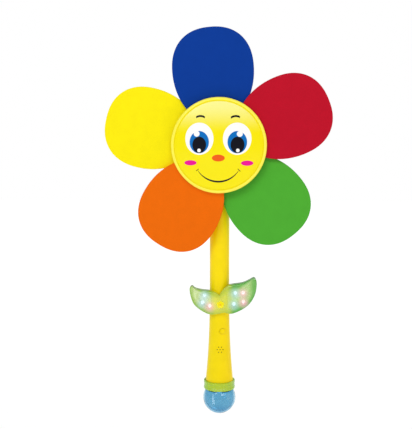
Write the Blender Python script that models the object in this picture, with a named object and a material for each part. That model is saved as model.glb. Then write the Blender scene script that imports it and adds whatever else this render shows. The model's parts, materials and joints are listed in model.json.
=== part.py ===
"""Motor-driven flower pinwheel on a hand-held stick, with light-up leaves and a clear ball at its end.

The stick stands along Z and the flower faces -Y. The origin is the middle of the grip, on the stick's axis.
Every dimension below is in millimetres, and MM turns it into metres when a mesh is made.
"""

import math

import bmesh
import bpy
from mathutils import Matrix, Vector

MM = 0.001

# Clearances
GAP = 0.3  # between pieces that seat on or fit into each other
RUN = 0.05  # radial, between a turning shaft and its bearing
BACKLASH = 0.12  # along a pitch circle, between meshed teeth

# Batteries. The stick is made as thick as they need
CELL_R = 5.25
CELL_BODY = 43.5
CELL_NUB = 1.0
CELL_NUB_R = 1.9
CELL_EDGE = 0.4
CELL_Y = 2.6  # behind the stick's axis, which leaves room for the controls
CELL_ROOM = 0.65
CELLS = 3
CELL_PITCH = CELL_BODY + CELL_NUB + GAP

# Stick and handle
WALL = 1.65
STEM_R = CELL_Y + CELL_R + CELL_ROOM + WALL
FLARE_TOP = 60.0
FLARE = 4.3  # how much wider the handle is at its lower end
FLARE_POWER = 2.5
HANDLE_END = -41.6
SPIGOT_R = STEM_R + FLARE - 0.45
SHELL_END = HANDLE_END - 5.4
PARTING = 0.15  # each half stops this far from the parting plane

# Where the cells stand
CELLS_START = HANDLE_END + 5.6
CELLS_END = CELLS_START + CELLS * CELL_PITCH
CONTACT_THICKNESS = 0.5
BULKHEAD = 1.2
BULKHEAD_HALF = 4.5
LOW_BULKHEAD_Z = HANDLE_END + 0.1
SPRING_WIRE_R = 0.35
SPRING_R = (4.0, 2.2)  # of its widest and its narrowest coil
SPRING_TURNS = 4
DOOR_HALF = CELL_R + 1.75
DOOR_Z = (CELLS_START - 2.0, CELLS_END + 13.6)
DOOR_SCREW_Z = CELLS_END + 8.1
DOOR_BOSS_Y = 4.6
DOOR_HEAD_Y = STEM_R - WALL - 0.6

# Leaves, drawn from the flower-shaped plug's centre
LEAF_X = 1.5
LEAF_Z = 41.8
LEAF_WALL = 1.2
LEAF_SHELL = LEAF_WALL + 0.4  # thickness over the flat crown
LEAF_FRONT = -STEM_R - 4.35
LEAF_PARTING = -STEM_R - 1.45  # in front of the stick, so that the rear cover is one piece
LEAF_BACK = LEAF_FRONT + 10.9
LEAF_EDGE = 2.0
LEAF_SEAT_Y = LEAF_FRONT + 2.4  # where their screw's head rests
LEAF_OUTLINE = (
    ((-1.1, 9.6), (-5.5, 12.4), (-11.4, 13.8), (-19.5, 14.6), (-26.2, 16.1), (-29.4, 18.6)),
    ((-29.4, 18.6), (-31.4, 17.6), (-31.9, 14.4), (-30.6, 7.2), (-27.4, -0.4), (-20.9, -6.2), (-13.3, -10.3)),
    ((-13.3, -10.3), (-7.8, -11.1), (-1.4, -10.0), (4.0, -8.7)),
    (
        (4.0, -8.7), (11.6, -9.9), (22.5, -5.3), (30.5, 1.3),
        (35.8, 11.1), (37.3, 21.5), (36.2, 26.2), (34.2, 27.8),
    ),
    ((34.2, 27.8), (32.2, 27.0), (29.3, 25.3), (22.3, 22.3), (8.9, 19.9), (2.8, 15.5), (-1.1, 9.6)),
)
LEAF_SPINE = ((-29.2, 17.6), (-24.0, 9.0), (-14.0, 2.0), (2.0, 0.5), (16.0, 6.0), (28.0, 13.0), (34.0, 26.5))
LEAF_CROWN = ((0.05, 0.5), (0.14, 0.85), (0.3, 1.0))  # how far in, and how far up, its rounded edge goes
LEAF_POST_R = 1.5
LEAF_POSTS = (("left", -17.5, 4.5), ("right", 20.0, 7.0))
LEAF_BOARD_Y = (LEAF_BACK - 4.7, LEAF_BACK - 3.9)
LEAF_BOARD_INSET = 5.0
LEAF_BOARD_START = STEM_R - 1.55  # from the stick's axis
LED_R = 1.5
LED_FLANGE = 0.3
LED_FLANGE_THICKNESS = 0.6
LED_LENGTH = 3.6
LEDS = (
    ("led_left_1", -16.4, 8.8),
    ("led_left_2", -18.7, 1.1),
    ("led_left_3", -11.1, -2.6),
    ("led_right_1", 15.2, 11.5),
    ("led_right_2", 23.4, 11.8),
    ("led_right_3", 13.8, -0.2),
    ("led_right_4", 23.7, 2.2),
)
PLUG_R = 3.6
PLUG_PETALS = 5
PLUG_THICKNESS = 0.9
PLUG_SHANK_R = 1.9

# Flower
PETAL_TIP = 118.0
PETAL_WIDEST = 76.0  # from the hub's centre
PETAL_HALF_WIDTH = 40.9
PETAL_TIP_POWER = 2.3
PETAL_ROOT_REACH = 54.0
PETAL_TAB_START = 14.0
PETAL_TAB_HALF = 8.0
PETAL_THICKNESS = 2.0
PETAL_PIN_RING = 19.5
PETAL_PIN_R = 1.4
PETAL_SHOULDER_R = 3.2
PETAL_TURN = 4.7  # the flower's angle at rest
PETALS = (
    ("blue", 90.0, 1, (0.002, 0.041, 0.301)),
    ("red", 18.0, 2, (0.485, 0.006, 0.022)),
    ("green", -54.0, 0, (0.074, 0.413, 0.037)),
    ("orange", -126.0, 2, (0.839, 0.153, 0.002)),
    ("yellow", 162.0, 0, (0.956, 0.815, 0.005)),
)
LEAF_TO_SWEEP = 45.2  # from the leaves' centre to the lowest point that a petal reaches
FACE_Z = LEAF_Z + LEAF_TO_SWEEP + PETAL_TIP
HUB_CENTRE = (0.0, FACE_Z)

# Drive
MODULE = 0.5
PRESSURE_ANGLE = math.radians(25.0)
ADDENDUM = 0.8
DEDENDUM = 1.05
PINION_TEETH = 10
IDLER_TEETH = 30
IDLER_PINION_TEETH = 10
OUTPUT_TEETH = 36
TO_OUTPUT = MODULE * (IDLER_PINION_TEETH + OUTPUT_TEETH) / 2
TO_MOTOR = MODULE * (PINION_TEETH + IDLER_TEETH) / 2
SHAFT_R = 1.5
IDLER_PIN_R = 1.0
MOTOR_SHAFT_R = 1.0
MOTOR_R = 7.5

# Motor housing behind the flower, as wide as the motor or the idler needs
POD_ROOM = 0.35
IDLER_REACH = TO_OUTPUT + MODULE * (IDLER_TEETH / 2 + ADDENDUM)
MOTOR_REACH = 2 * MOTOR_R + 6.0
POD_R = max(MOTOR_REACH, IDLER_REACH) + POD_ROOM + WALL
POD_EDGE = 1.6
POD_FRONT = -STEM_R - 0.35
POD_FRONT_INNER = POD_FRONT + WALL
MOTOR_RISE = POD_R - WALL - POD_ROOM - MOTOR_R  # the motor's axis above the flower's
MOTOR_CENTRE = (0.0, FACE_Z + MOTOR_RISE)
IDLER_RISE = (TO_OUTPUT**2 + MOTOR_RISE**2 - TO_MOTOR**2) / (2 * MOTOR_RISE)
IDLER_CENTRE = (-math.sqrt(TO_OUTPUT**2 - IDLER_RISE**2), FACE_Z + IDLER_RISE)

# Levels behind the housing's front wall
OUTPUT_Y = (POD_FRONT_INNER + 2.25, POD_FRONT_INNER + 5.05)
OUTPUT_HUB_Y = (OUTPUT_Y[0] - 1.2, OUTPUT_Y[1] + 0.4)
IDLER_Y = (POD_FRONT_INNER + 5.65, POD_FRONT_INNER + 8.15)
IDLER_PINION_Y = (POD_FRONT_INNER + 2.05, IDLER_Y[0] + 0.5)
PINION_Y = (POD_FRONT_INNER + 5.45, POD_FRONT_INNER + 8.25)
PLATE_Y = (POD_FRONT_INNER + 8.85, POD_FRONT_INNER + 10.35)
PLATE_R = POD_R - WALL - 0.5
PIN_SEAT_R = 2 * IDLER_PIN_R + 0.3
PIN_SEAT = 1.5  # how far the idler pin's seat stands off the wall
BUSH_R = 2.9
BUSH_FLANGE_R = 4.2
MOTOR_WALL = 0.8
MOTOR_NOSE_R = 2.5
MOTOR_NOSE = 1.2
MOTOR_Y = (PLATE_Y[1] + GAP, PLATE_Y[1] + 15.7)
MOTOR_CAP_Y = (MOTOR_Y[1] + GAP, MOTOR_Y[1] + 2.3)
MAGNET_R = MOTOR_R - MOTOR_WALL - GAP
MAGNET_THICKNESS = 1.1
MAGNET_HALF_GAP = 2.0
MAGNET_Y = (MOTOR_Y[0] + 2.5, MOTOR_Y[1] - 3.0)
ARMATURE_R = MAGNET_R - MAGNET_THICKNESS - 0.7
ARMATURE_SLOTS = 3
COMMUTATOR_R = 2.0
LEAD_R = 0.7
LEAD_ANGLE = math.radians(218.0)
LEAD_RADIUS = STEM_R - WALL - LEAD_R - 0.32
LEAD_X = LEAD_RADIUS * math.cos(LEAD_ANGLE)
LEAD_Y = LEAD_RADIUS * math.sin(LEAD_ANGLE)
LEAD_SLOT_HALF = 2.5
POD_BACK = MOTOR_CAP_Y[1] + 2.85 + WALL

# Fasteners
SCREW_R = 1.1
SCREW_HEAD_R = 2.0
SCREW_HEAD = 1.4
PILOT_R = SCREW_R + GAP
WELL_R = SCREW_HEAD_R + 0.4
BOSS_R = 2.6
WELL_BOSS_R = 3.2
ROOT = 0.5  # how far a boss is sunk into the wall it stands on
FLOOR = 1.2  # left under a pilot hole, from where the boss starts
HEAD_SEAT_Y = 6.0  # where a case screw's head rests
POD_SCREW_RING = POD_R - 4.7
POD_SCREW_ANGLES = (-20.0, 200.0, 50.0)
PLATE_SCREW_RING = POD_R - 5.3
PLATE_SCREW_ANGLES = (-53.5, -126.5)
STEM_SCREW_Z = FACE_Z - 55.0
SHELL_SCREW = 12.0
PLATE_SCREW = 8.0
DOOR_SCREW = 9.0
LEAF_SCREW = 6.2
HUB_SCREW = 5.0

# Hub, petal layers and face, each in front of the one before
HUB_R = 30.0
HUB_BOSS_R = 5.5
HUB_BACK = POD_FRONT - 1.0
HUB_FRONT = HUB_BACK - 1.8
LAYER_PITCH = PETAL_THICKNESS + GAP
PETAL_LAYER_BACKS = tuple(HUB_FRONT - GAP - layer * LAYER_PITCH for layer in range(3))
CLAMP_BACK = PETAL_LAYER_BACKS[-1] - LAYER_PITCH
CLAMP_FRONT = CLAMP_BACK - 2.0
HUB_SHAFT_END = CLAMP_FRONT + 5.8
FACE_R = 48.0
FACE_EDGE = 1.0
FACE_WALL = 1.8
FACE_COLLAR = 1.5
FACE_RIM_BACK = CLAMP_BACK - 0.2
FACE_RIM_FRONT = FACE_RIM_BACK - 2.7
FACE_APEX = FACE_RIM_FRONT - 6.8

# Controls, on a board in front of the cells, turned about the stick's axis
CONTROL_ANGLE = 20.0
BOARD_BACK = CELL_R - 1.25
BOARD_FRONT = BOARD_BACK + 0.8
BOARD_HALF = 5.6
BOARD_Z = (-20.0, 25.0)
BUTTON_Z = 12.8
BUTTON_R = 3.0
BUTTON_RISE = 1.1
BUTTON_TRAVEL = 0.5
BUTTON_FLANGE = 0.9
BUTTON_FLANGE_THICKNESS = 0.4
SWITCH_HALF = 2.25
SWITCH_TOP = BOARD_FRONT + 2.2
PLUNGER_R = 1.2
BUZZER_Z = -6.4
BUZZER_R = 4.6
BUZZER_DEPTH = 2.6
SOUND_X = 1.2
SOUND_RING = 3.0
SOUND_HOLES = 6
SOUND_HOLE_R = 0.6

# Ball end
COLLAR_R = STEM_R + FLARE + 1.9
COLLAR_Z = (HANDLE_END - 8.4, HANDLE_END + 0.6)
COLLAR_EDGE = 0.8
GLOBE_R = 17.0
GLOBE_Z = COLLAR_Z[0] + 7.0 - GLOBE_R
GLOBE_WALL = 1.5
GLOBE_NECK_R = SPIGOT_R - WALL - 2.15
GLOBE_NECK_WALL = 1.2
GLOBE_FLANGE_R = GLOBE_NECK_R + 1.4
GLOBE_FLANGE_Z = (HANDLE_END - 3.0, HANDLE_END - 2.0)
NECK_RIB_TOP = HANDLE_END - 3.6
HOLDER_Z = (HANDLE_END - 1.6, HANDLE_END - GAP)
HOLDER_SPIGOT = 2.0
GLOBE_LED_R = 2.5
GLOBE_LED_LENGTH = 7.0

# Smoothness
ROUND = 32
MEDIUM = 16
SMALL = 10
SCREW_SIDES = 8
FLARE_STEPS = 6
DOME_STEPS = 4
BALL_STEPS = 8
FLANK_STEPS = 2
PETAL_STEPS = 11
PLUG_STEPS = 30
SPRING_STEPS = 9  # in each turn
LEAF_STEPS = 2  # along each stretch between two points of the outline
EVEN_SHARE = 1.4  # crowds the flare's steps towards its lower end, where it curves most


def clear_scene():
    for obj in list(bpy.data.objects):
        bpy.data.objects.remove(obj)


def material(name, colour, roughness=0.4, metallic=0.0):
    made = bpy.data.materials.new(name)
    made.use_nodes = True
    shader = made.node_tree.nodes["Principled BSDF"]
    shader.inputs["Base Color"].default_value = (*colour, 1.0)
    shader.inputs["Roughness"].default_value = roughness
    shader.inputs["Metallic"].default_value = metallic
    return made


def along_z(a, b, h):
    return (a, b, h)


def along_y(a, b, h):
    return (a, h, b)


def radial(a, b, h):
    """Towards the front of a board that has not been turned yet: a is sideways, b is up."""
    return (a, -h, b)


def solid(name, points, faces, finish=None):
    mesh = bpy.data.meshes.new(name)
    mesh.from_pydata([Vector(point) * MM for point in points], [], faces)
    shape = bmesh.new()
    shape.from_mesh(mesh)
    unused = [vertex for vertex in shape.verts if not vertex.link_faces]
    bmesh.ops.delete(shape, geom=unused)
    bmesh.ops.recalc_face_normals(shape, faces=shape.faces)
    shape.to_mesh(mesh)
    shape.free()
    mesh.shade_smooth()
    mesh.set_sharp_from_angle(angle=math.radians(35.0))
    obj = bpy.data.objects.new(name, mesh)
    bpy.context.scene.collection.objects.link(obj)
    if finish:
        mesh.materials.append(finish)
    return obj


def turned(name, profile, place=along_z, centre=(0.0, 0.0), steps=MEDIUM, finish=None):
    """A profile of (radius, height) points turned once. One that starts off the axis becomes a ring."""
    points = []
    rings = []
    for radius, height in profile:
        start = len(points)
        count = steps if radius > 0 else 1
        for step in range(count):
            angle = 2 * math.pi * (step + 0.5) / steps
            across = centre[0] + radius * math.cos(angle)
            up = centre[1] + radius * math.sin(angle)
            points.append(place(across, up, height))
        rings.append((height, list(range(start, start + count))))
    pairs = list(zip(rings, rings[1:]))
    if profile[0][0] > 0:
        pairs.append((rings[-1], rings[0]))
    faces = []
    for (first_height, first), (second_height, second) in pairs:
        if min(len(first), len(second)) == 1:
            rim = max(first, second, key=len)
            pole = min(first, second, key=len)[0]
            if first_height == second_height:
                faces.append(tuple(rim))
                continue
            faces += [(pole, rim[step], rim[(step + 1) % steps]) for step in range(steps)]
            continue
        for step in range(steps):
            after = (step + 1) % steps
            faces.append((first[step], first[after], second[after], second[step]))
    return solid(name, points, faces, finish)


def rod(name, radius, low, high, place=along_y, centre=(0.0, 0.0), steps=SMALL, finish=None):
    profile = ((0, low), (radius, low), (radius, high), (0, high))
    return turned(name, profile, place, centre, steps, finish)


def ring(name, inner, outer, low, high, place=along_y, centre=(0.0, 0.0), steps=SMALL, finish=None):
    profile = ((outer, low), (outer, high), (inner, high), (inner, low))
    return turned(name, profile, place, centre, steps, finish)


def prism(name, outline, low, high, place=along_y, finish=None):
    count = len(outline)
    points = [place(a, b, low) for a, b in outline]
    points += [place(a, b, high) for a, b in outline]
    faces = [tuple(range(count)), tuple(range(2 * count - 1, count - 1, -1))]
    for i in range(count):
        after = (i + 1) % count
        faces.append((i, after, count + after, count + i))
    return solid(name, points, faces, finish)


def box(name, x, y, z, finish=None):
    corners = ((x[0], z[0]), (x[1], z[0]), (x[1], z[1]), (x[0], z[1]))
    return prism(name, corners, y[0], y[1], along_y, finish)


def combine(target, tool, operation):
    """Joins a helper to the target or cuts it out of it. The helper isn't a piece of its own."""
    tool.hide_render = True
    tool.display_type = "WIRE"
    modifier = target.modifiers.new(tool.name, "BOOLEAN")
    modifier.operation = operation
    modifier.object = tool


def join(target, *tools):
    for tool in tools:
        combine(target, tool, "UNION")


def cut(target, *tools):
    for tool in tools:
        combine(target, tool, "DIFFERENCE")


def boss(target, name, radius, low, high, place, steps=SMALL):
    join(target, rod(name, radius, low, high, along_y, place, steps))


def hole(target, name, radius, low, high, place, steps=SCREW_SIDES):
    cut(target, rod(name, radius, low, high, along_y, place, steps))


def empty(name, location, parent=None):
    obj = bpy.data.objects.new(name, None)
    obj.location = Vector(location) * MM
    obj.parent = parent
    bpy.context.scene.collection.objects.link(obj)
    return obj


def hang_on(parent, *pieces):
    """Parents pieces to an empty on their joint's axis and moves each piece's own origin there."""
    for piece in pieces:
        piece.data.transform(Matrix.Translation(-parent.location))
        piece.parent = parent


def polar(radius, degrees, centre=(0.0, FACE_Z)):
    angle = math.radians(degrees)
    return (centre[0] + radius * math.cos(angle), centre[1] + radius * math.sin(angle))


def stem_radius(z):
    """The handle's outer radius at a height: straight above, flared towards the ball."""
    drop = max(FLARE_TOP - z, 0.0) / (FLARE_TOP - HANDLE_END)
    return STEM_R + FLARE * drop**FLARE_POWER


def flare_heights():
    shares = [(i / FLARE_STEPS) ** EVEN_SHARE for i in range(FLARE_STEPS + 1)]
    return [HANDLE_END + (FLARE_TOP - HANDLE_END) * share for share in shares]


def smooth_run(points, steps):
    """A smooth curve through the points, without the last one."""
    run = []
    count = len(points)
    for i in range(count - 1):
        before = Vector(points[max(i - 1, 0)])
        start = Vector(points[i])
        end = Vector(points[i + 1])
        after = Vector(points[min(i + 2, count - 1)])
        for step in range(steps):
            t = step / steps
            leaving = (end - before) / 2
            arriving = (after - start) / 2
            blend = start * (2 * t**3 - 3 * t**2 + 1) + leaving * (t**3 - 2 * t**2 + t)
            blend += end * (3 * t**2 - 2 * t**3) + arriving * (t**3 - t**2)
            run.append(tuple(blend))
    return run


def distance_to_outline(point, outline):
    nearest = math.inf
    for i, end in enumerate(outline):
        start = Vector(outline[i - 1])
        run = Vector(end) - start
        share = min(max((point - start).dot(run) / run.length_squared, 0.0), 1.0)
        nearest = min(nearest, (point - start - run * share).length)
    return nearest


def inset_outline(outline, distance):
    """The outline moved inwards, ending where it gets too narrow. It runs anticlockwise."""
    moved = []
    count = len(outline)
    for i in range(count):
        point = Vector(outline[i])
        back = (point - Vector(outline[i - 1])).normalized()
        ahead = (Vector(outline[(i + 1) % count]) - point).normalized()
        along = (back + ahead).normalized()
        inner = point + Vector((-along.y, along.x)) * distance
        if distance_to_outline(inner, outline) > 0.93 * distance:
            moved.append(tuple(inner))
    return moved


def drawn_in(outline, spine, share):
    """The outline moved towards a spine by a share of the way, so that its narrow tips keep their shape."""
    moved = []
    for place in outline:
        point = Vector(place)
        nearest = min(spine, key=lambda other: (Vector(other) - point).length)
        moved.append(tuple(point.lerp(Vector(nearest), share)))
    return moved


def stem_solid(name):
    """The stick's outer shape, with the spigot that the collar slides over."""
    profile = [(0, SHELL_END), (SPIGOT_R, SHELL_END), (SPIGOT_R, HANDLE_END)]
    profile += [(stem_radius(z), z) for z in flare_heights()]
    profile += [(STEM_R, FACE_Z), (0, FACE_Z)]
    return turned(name, profile, along_z, steps=ROUND)


def stem_cavity(name):
    rib = GLOBE_NECK_R + GAP
    spigot = SPIGOT_R - WALL
    below = SHELL_END - 1.0
    profile = [(0, below), (rib, below), (rib, NECK_RIB_TOP), (spigot, NECK_RIB_TOP), (spigot, HANDLE_END)]
    profile += [(stem_radius(z) - WALL, z) for z in flare_heights()]
    profile += [(STEM_R - WALL, FACE_Z), (0, FACE_Z)]
    return turned(name, profile, along_z, steps=ROUND)


def pod_solid(name):
    profile = (
        (0, POD_FRONT),
        (POD_R - POD_EDGE, POD_FRONT),
        (POD_R - 0.3 * POD_EDGE, POD_FRONT + 0.3 * POD_EDGE),
        (POD_R, POD_FRONT + POD_EDGE),
        (POD_R, POD_BACK - POD_EDGE),
        (POD_R - 0.3 * POD_EDGE, POD_BACK - 0.3 * POD_EDGE),
        (POD_R - POD_EDGE, POD_BACK),
        (0, POD_BACK),
    )
    return turned(name, profile, along_y, HUB_CENTRE, ROUND)


def hollow_stick(name, finish):
    """The whole casing before it is split into two halves."""
    casing = stem_solid(name)
    casing.data.materials.append(finish)
    join(casing, pod_solid(name + "_pod"))
    cut(casing, stem_cavity(name + "_cavity"))
    hole(casing, name + "_pod_cavity", POD_R - WALL, POD_FRONT_INNER, POD_BACK - WALL, HUB_CENTRE, ROUND)
    return casing


def shell_screw_places():
    places = [polar(POD_SCREW_RING, angle) for angle in POD_SCREW_ANGLES]
    places.append((0.0, STEM_SCREW_Z))
    return places


def front_inner_y(z):
    """Where the front wall's inner face is, on the centre line or in the motor housing."""
    if z > FACE_Z - POD_R:
        return POD_FRONT_INNER
    return -stem_radius(z) + WALL


def make_front_shell(finish):
    shell = hollow_stick("handle_front_shell", finish)
    reach = POD_R + 2.0
    height = (SHELL_END - 2.0, FACE_Z + reach)
    cut(shell, box("front_shell_split", (-reach, reach), (-PARTING, POD_BACK + 2.0), height))
    for number, place in enumerate(shell_screw_places()):
        start = front_inner_y(place[1]) - ROOT
        boss(shell, f"front_boss_{number}", BOSS_R, start, -PARTING, place)
        hole(shell, f"front_pilot_{number}", PILOT_R, start + FLOOR, 1.0, place)
    for number, angle in enumerate(PLATE_SCREW_ANGLES):
        place = polar(PLATE_SCREW_RING, angle)
        start = front_inner_y(place[1]) - ROOT
        boss(shell, f"plate_boss_{number}", BOSS_R, start, PLATE_Y[0] - GAP, place)
        hole(shell, f"plate_pilot_{number}", PILOT_R, start + FLOOR, 1.0, place)
    start = POD_FRONT_INNER - ROOT
    boss(shell, "pin_seat", PIN_SEAT_R, start, POD_FRONT_INNER + PIN_SEAT, IDLER_CENTRE)
    hole(shell, "pin_hole", IDLER_PIN_R + GAP, POD_FRONT_INNER + 0.1, 0.0, IDLER_CENTRE)
    hole(shell, "bush_hole", BUSH_R + GAP, POD_FRONT - 1.0, 0.0, HUB_CENTRE, MEDIUM)
    add_door_boss(shell)
    add_bulkheads(shell)
    cut(shell, control_hole("button_hole"))
    add_sound_holes(shell)
    leaf_place = (LEAF_X, LEAF_Z)
    boss(shell, "leaf_boss", BOSS_R, -STEM_R + 0.9, -STEM_R + 4.55, leaf_place)
    hole(shell, "leaf_pilot", PILOT_R, -STEM_R - 1.0, -STEM_R + 5.15, leaf_place)
    return shell


def add_door_boss(shell):
    place = (0.0, DOOR_SCREW_Z)
    start = front_inner_y(DOOR_SCREW_Z) - ROOT
    boss(shell, "door_boss", BOSS_R + 0.4, start, DOOR_BOSS_Y - GAP, place)
    hole(shell, "door_pilot", PILOT_R, start + 3.0, DOOR_BOSS_Y, place)


def add_bulkheads(shell):
    across = (-BULKHEAD_HALF, BULKHEAD_HALF)
    for name, low in (("upper", CELLS_END + 2 * GAP + CONTACT_THICKNESS), ("lower", LOW_BULKHEAD_Z)):
        start = -stem_radius(low) + 0.6
        join(shell, box(name + "_bulkhead", across, (start, -PARTING), (low, low + BULKHEAD)))


def add_sound_holes(shell):
    outer = -stem_radius(BUZZER_Z) - 1.0
    centre = (SOUND_X, BUZZER_Z)
    hole(shell, "sound_hole_centre", SOUND_HOLE_R, outer, -BUZZER_R, centre)
    for number in range(SOUND_HOLES):
        place = polar(SOUND_RING, 360.0 * number / SOUND_HOLES, centre)
        hole(shell, f"sound_hole_{number}", SOUND_HOLE_R, outer, -BUZZER_R, place)


def make_rear_shell(finish):
    shell = hollow_stick("handle_rear_shell", finish)
    reach = POD_R + 2.0
    height = (SHELL_END - 2.0, FACE_Z + reach)
    cut(shell, box("rear_shell_split", (-reach, reach), (POD_FRONT - 2.0 - STEM_R, PARTING), height))
    for number, place in enumerate(shell_screw_places()):
        inner = POD_BACK - WALL if place[1] > FACE_Z - POD_R else STEM_R - WALL
        boss(shell, f"rear_boss_{number}", WELL_BOSS_R, PARTING, inner + ROOT, place)
        hole(shell, f"rear_well_{number}", WELL_R, HEAD_SEAT_Y, POD_BACK + 1.0, place, SMALL)
        hole(shell, f"rear_hole_{number}", PILOT_R, -1.0, HEAD_SEAT_Y + 1.0, place)
    half = DOOR_HALF + GAP
    depth = (PARTING + 1.0, STEM_R + FLARE + 2.0)
    cut(shell, box("door_opening", (-half, half), depth, (DOOR_Z[0] - GAP, DOOR_Z[1] + GAP)))
    return shell


def make_battery_door(finish):
    """A strip of the rear wall over the cells, held by one screw at its upper end."""
    door = stem_solid("battery_door")
    door.data.materials.append(finish)
    cut(door, stem_cavity("battery_door_cavity"))
    depth = (PARTING + 2.0, STEM_R + FLARE + 2.0)
    outline = box("battery_door_outline", (-DOOR_HALF, DOOR_HALF), depth, DOOR_Z)
    combine(door, outline, "INTERSECT")
    place = (0.0, DOOR_SCREW_Z)
    boss(door, "battery_door_boss", WELL_BOSS_R, DOOR_BOSS_Y, STEM_R - WALL + 0.6, place)
    hole(door, "battery_door_recess", WELL_R, DOOR_HEAD_Y, STEM_R + 2.0, place, SMALL)
    hole(door, "battery_door_hole", PILOT_R, DOOR_BOSS_Y - 1.0, DOOR_HEAD_Y + 1.0, place)
    return door


def make_screw(name, place, head_y, length, finish, side=1.0):
    """A pan-head screw along Y. Its head's seat is at head_y, and the head is on the side given."""
    tip = head_y - side * length
    profile = (
        (0, tip),
        (SCREW_R * 0.55, tip),
        (SCREW_R, tip + side * 1.2),
        (SCREW_R, head_y),
        (SCREW_HEAD_R, head_y),
        (SCREW_HEAD_R, head_y + side * SCREW_HEAD * 0.6),
        (SCREW_HEAD_R * 0.7, head_y + side * SCREW_HEAD),
        (0, head_y + side * SCREW_HEAD),
    )
    return turned(name, profile, along_y, place, SCREW_SIDES, finish)


def control_hole(name):
    centre = (0.0, BUTTON_Z)
    return control_piece(rod(name, BUTTON_R + GAP, BOARD_FRONT, STEM_R + FLARE, radial, centre, MEDIUM))


def involute_outline(teeth, phase):
    """One closed outline of a spur gear with its first tooth centred on the phase angle, in radians."""
    pitch = MODULE * teeth / 2
    base = pitch * math.cos(PRESSURE_ANGLE)
    tip = pitch + ADDENDUM * MODULE
    root = pitch - DEDENDUM * MODULE

    def spread(radius):
        pressure = math.acos(min(base / radius, 1.0))
        return math.tan(pressure) - pressure

    half_at_pitch = (math.pi * MODULE / 2 - BACKLASH / 2) / (2 * pitch)
    half_at_base = half_at_pitch + spread(pitch)
    start = max(base, root)
    flank = [start + (tip - start) * i / FLANK_STEPS for i in range(FLANK_STEPS + 1)]
    outline = []
    for tooth in range(teeth):
        centre = phase + 2 * math.pi * tooth / teeth
        rising = [(root, half_at_base)] if root < base else []
        rising += [(radius, half_at_base - spread(radius)) for radius in flank]
        for radius, half in rising:
            outline.append((radius * math.cos(centre - half), radius * math.sin(centre - half)))
        for radius, half in reversed(rising):
            outline.append((radius * math.cos(centre + half), radius * math.sin(centre + half)))
    return outline


def gear(name, teeth, phase, centre, span, finish=None):
    outline = [(centre[0] + a, centre[1] + b) for a, b in involute_outline(teeth, phase)]
    return prism(name, outline, *span, along_y, finish)


def heading(start, end):
    return math.atan2(end[1] - start[1], end[0] - start[0])


def make_gears(finish):
    """Each pair has a tooth of one gear facing a gap of the other on the line between their centres."""
    to_idler = heading(HUB_CENTRE, IDLER_CENTRE)
    to_motor = heading(IDLER_CENTRE, MOTOR_CENTRE)
    output = gear("output_gear", OUTPUT_TEETH, to_idler, HUB_CENTRE, OUTPUT_Y, finish)
    boss(output, "output_hub", 2 * SHAFT_R, *OUTPUT_HUB_Y, HUB_CENTRE)
    hole(output, "output_bore", SHAFT_R + RUN, OUTPUT_Y[0] - 3.0, OUTPUT_Y[1] + 3.8, HUB_CENTRE, MEDIUM)
    half_gap = math.pi / IDLER_PINION_TEETH
    facing = to_idler + math.pi + half_gap
    idler = gear("idler_gear", IDLER_TEETH, to_motor, IDLER_CENTRE, IDLER_Y, finish)
    join(idler, gear("idler_pinion", IDLER_PINION_TEETH, facing, IDLER_CENTRE, IDLER_PINION_Y))
    hole(idler, "idler_bore", IDLER_PIN_R + RUN, IDLER_PINION_Y[0] - 1.0, PLATE_Y[0], IDLER_CENTRE, MEDIUM)
    half_gap = math.pi / PINION_TEETH
    facing = to_motor + math.pi + half_gap
    pinion = gear("motor_pinion", PINION_TEETH, facing, MOTOR_CENTRE, PINION_Y, finish)
    bore = MOTOR_SHAFT_R + RUN
    hole(pinion, "pinion_bore", bore, PINION_Y[0] - 1.0, PINION_Y[1] + 1.0, MOTOR_CENTRE, MEDIUM)
    return output, idler, pinion


def make_gearbox_plate(finish):
    plate = rod("gearbox_plate", PLATE_R, *PLATE_Y, along_y, HUB_CENTRE, ROUND, finish)
    through = (PLATE_Y[0] - 1.0, PLATE_Y[1] + 1.0)
    for number, angle in enumerate(POD_SCREW_ANGLES):
        place = polar(POD_SCREW_RING, angle)
        hole(plate, f"plate_notch_{number}", WELL_BOSS_R + GAP, *through, place, SMALL)
    for number, angle in enumerate(PLATE_SCREW_ANGLES):
        hole(plate, f"plate_hole_{number}", PILOT_R, *through, polar(PLATE_SCREW_RING, angle))
    hole(plate, "plate_bush_hole", BUSH_R + GAP, *through, HUB_CENTRE, MEDIUM)
    hole(plate, "plate_motor_hole", MOTOR_NOSE_R + GAP, *through, MOTOR_CENTRE, MEDIUM)
    hole(plate, "plate_pin_hole", IDLER_PIN_R + GAP, *through, IDLER_CENTRE)
    slot = (LEAD_X - LEAD_SLOT_HALF, LEAD_X + LEAD_SLOT_HALF)
    cut(plate, box("plate_lead_slot", slot, through, (FACE_Z - POD_R - 1.0, FACE_Z - POD_R + 9.0)))
    return plate


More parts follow.
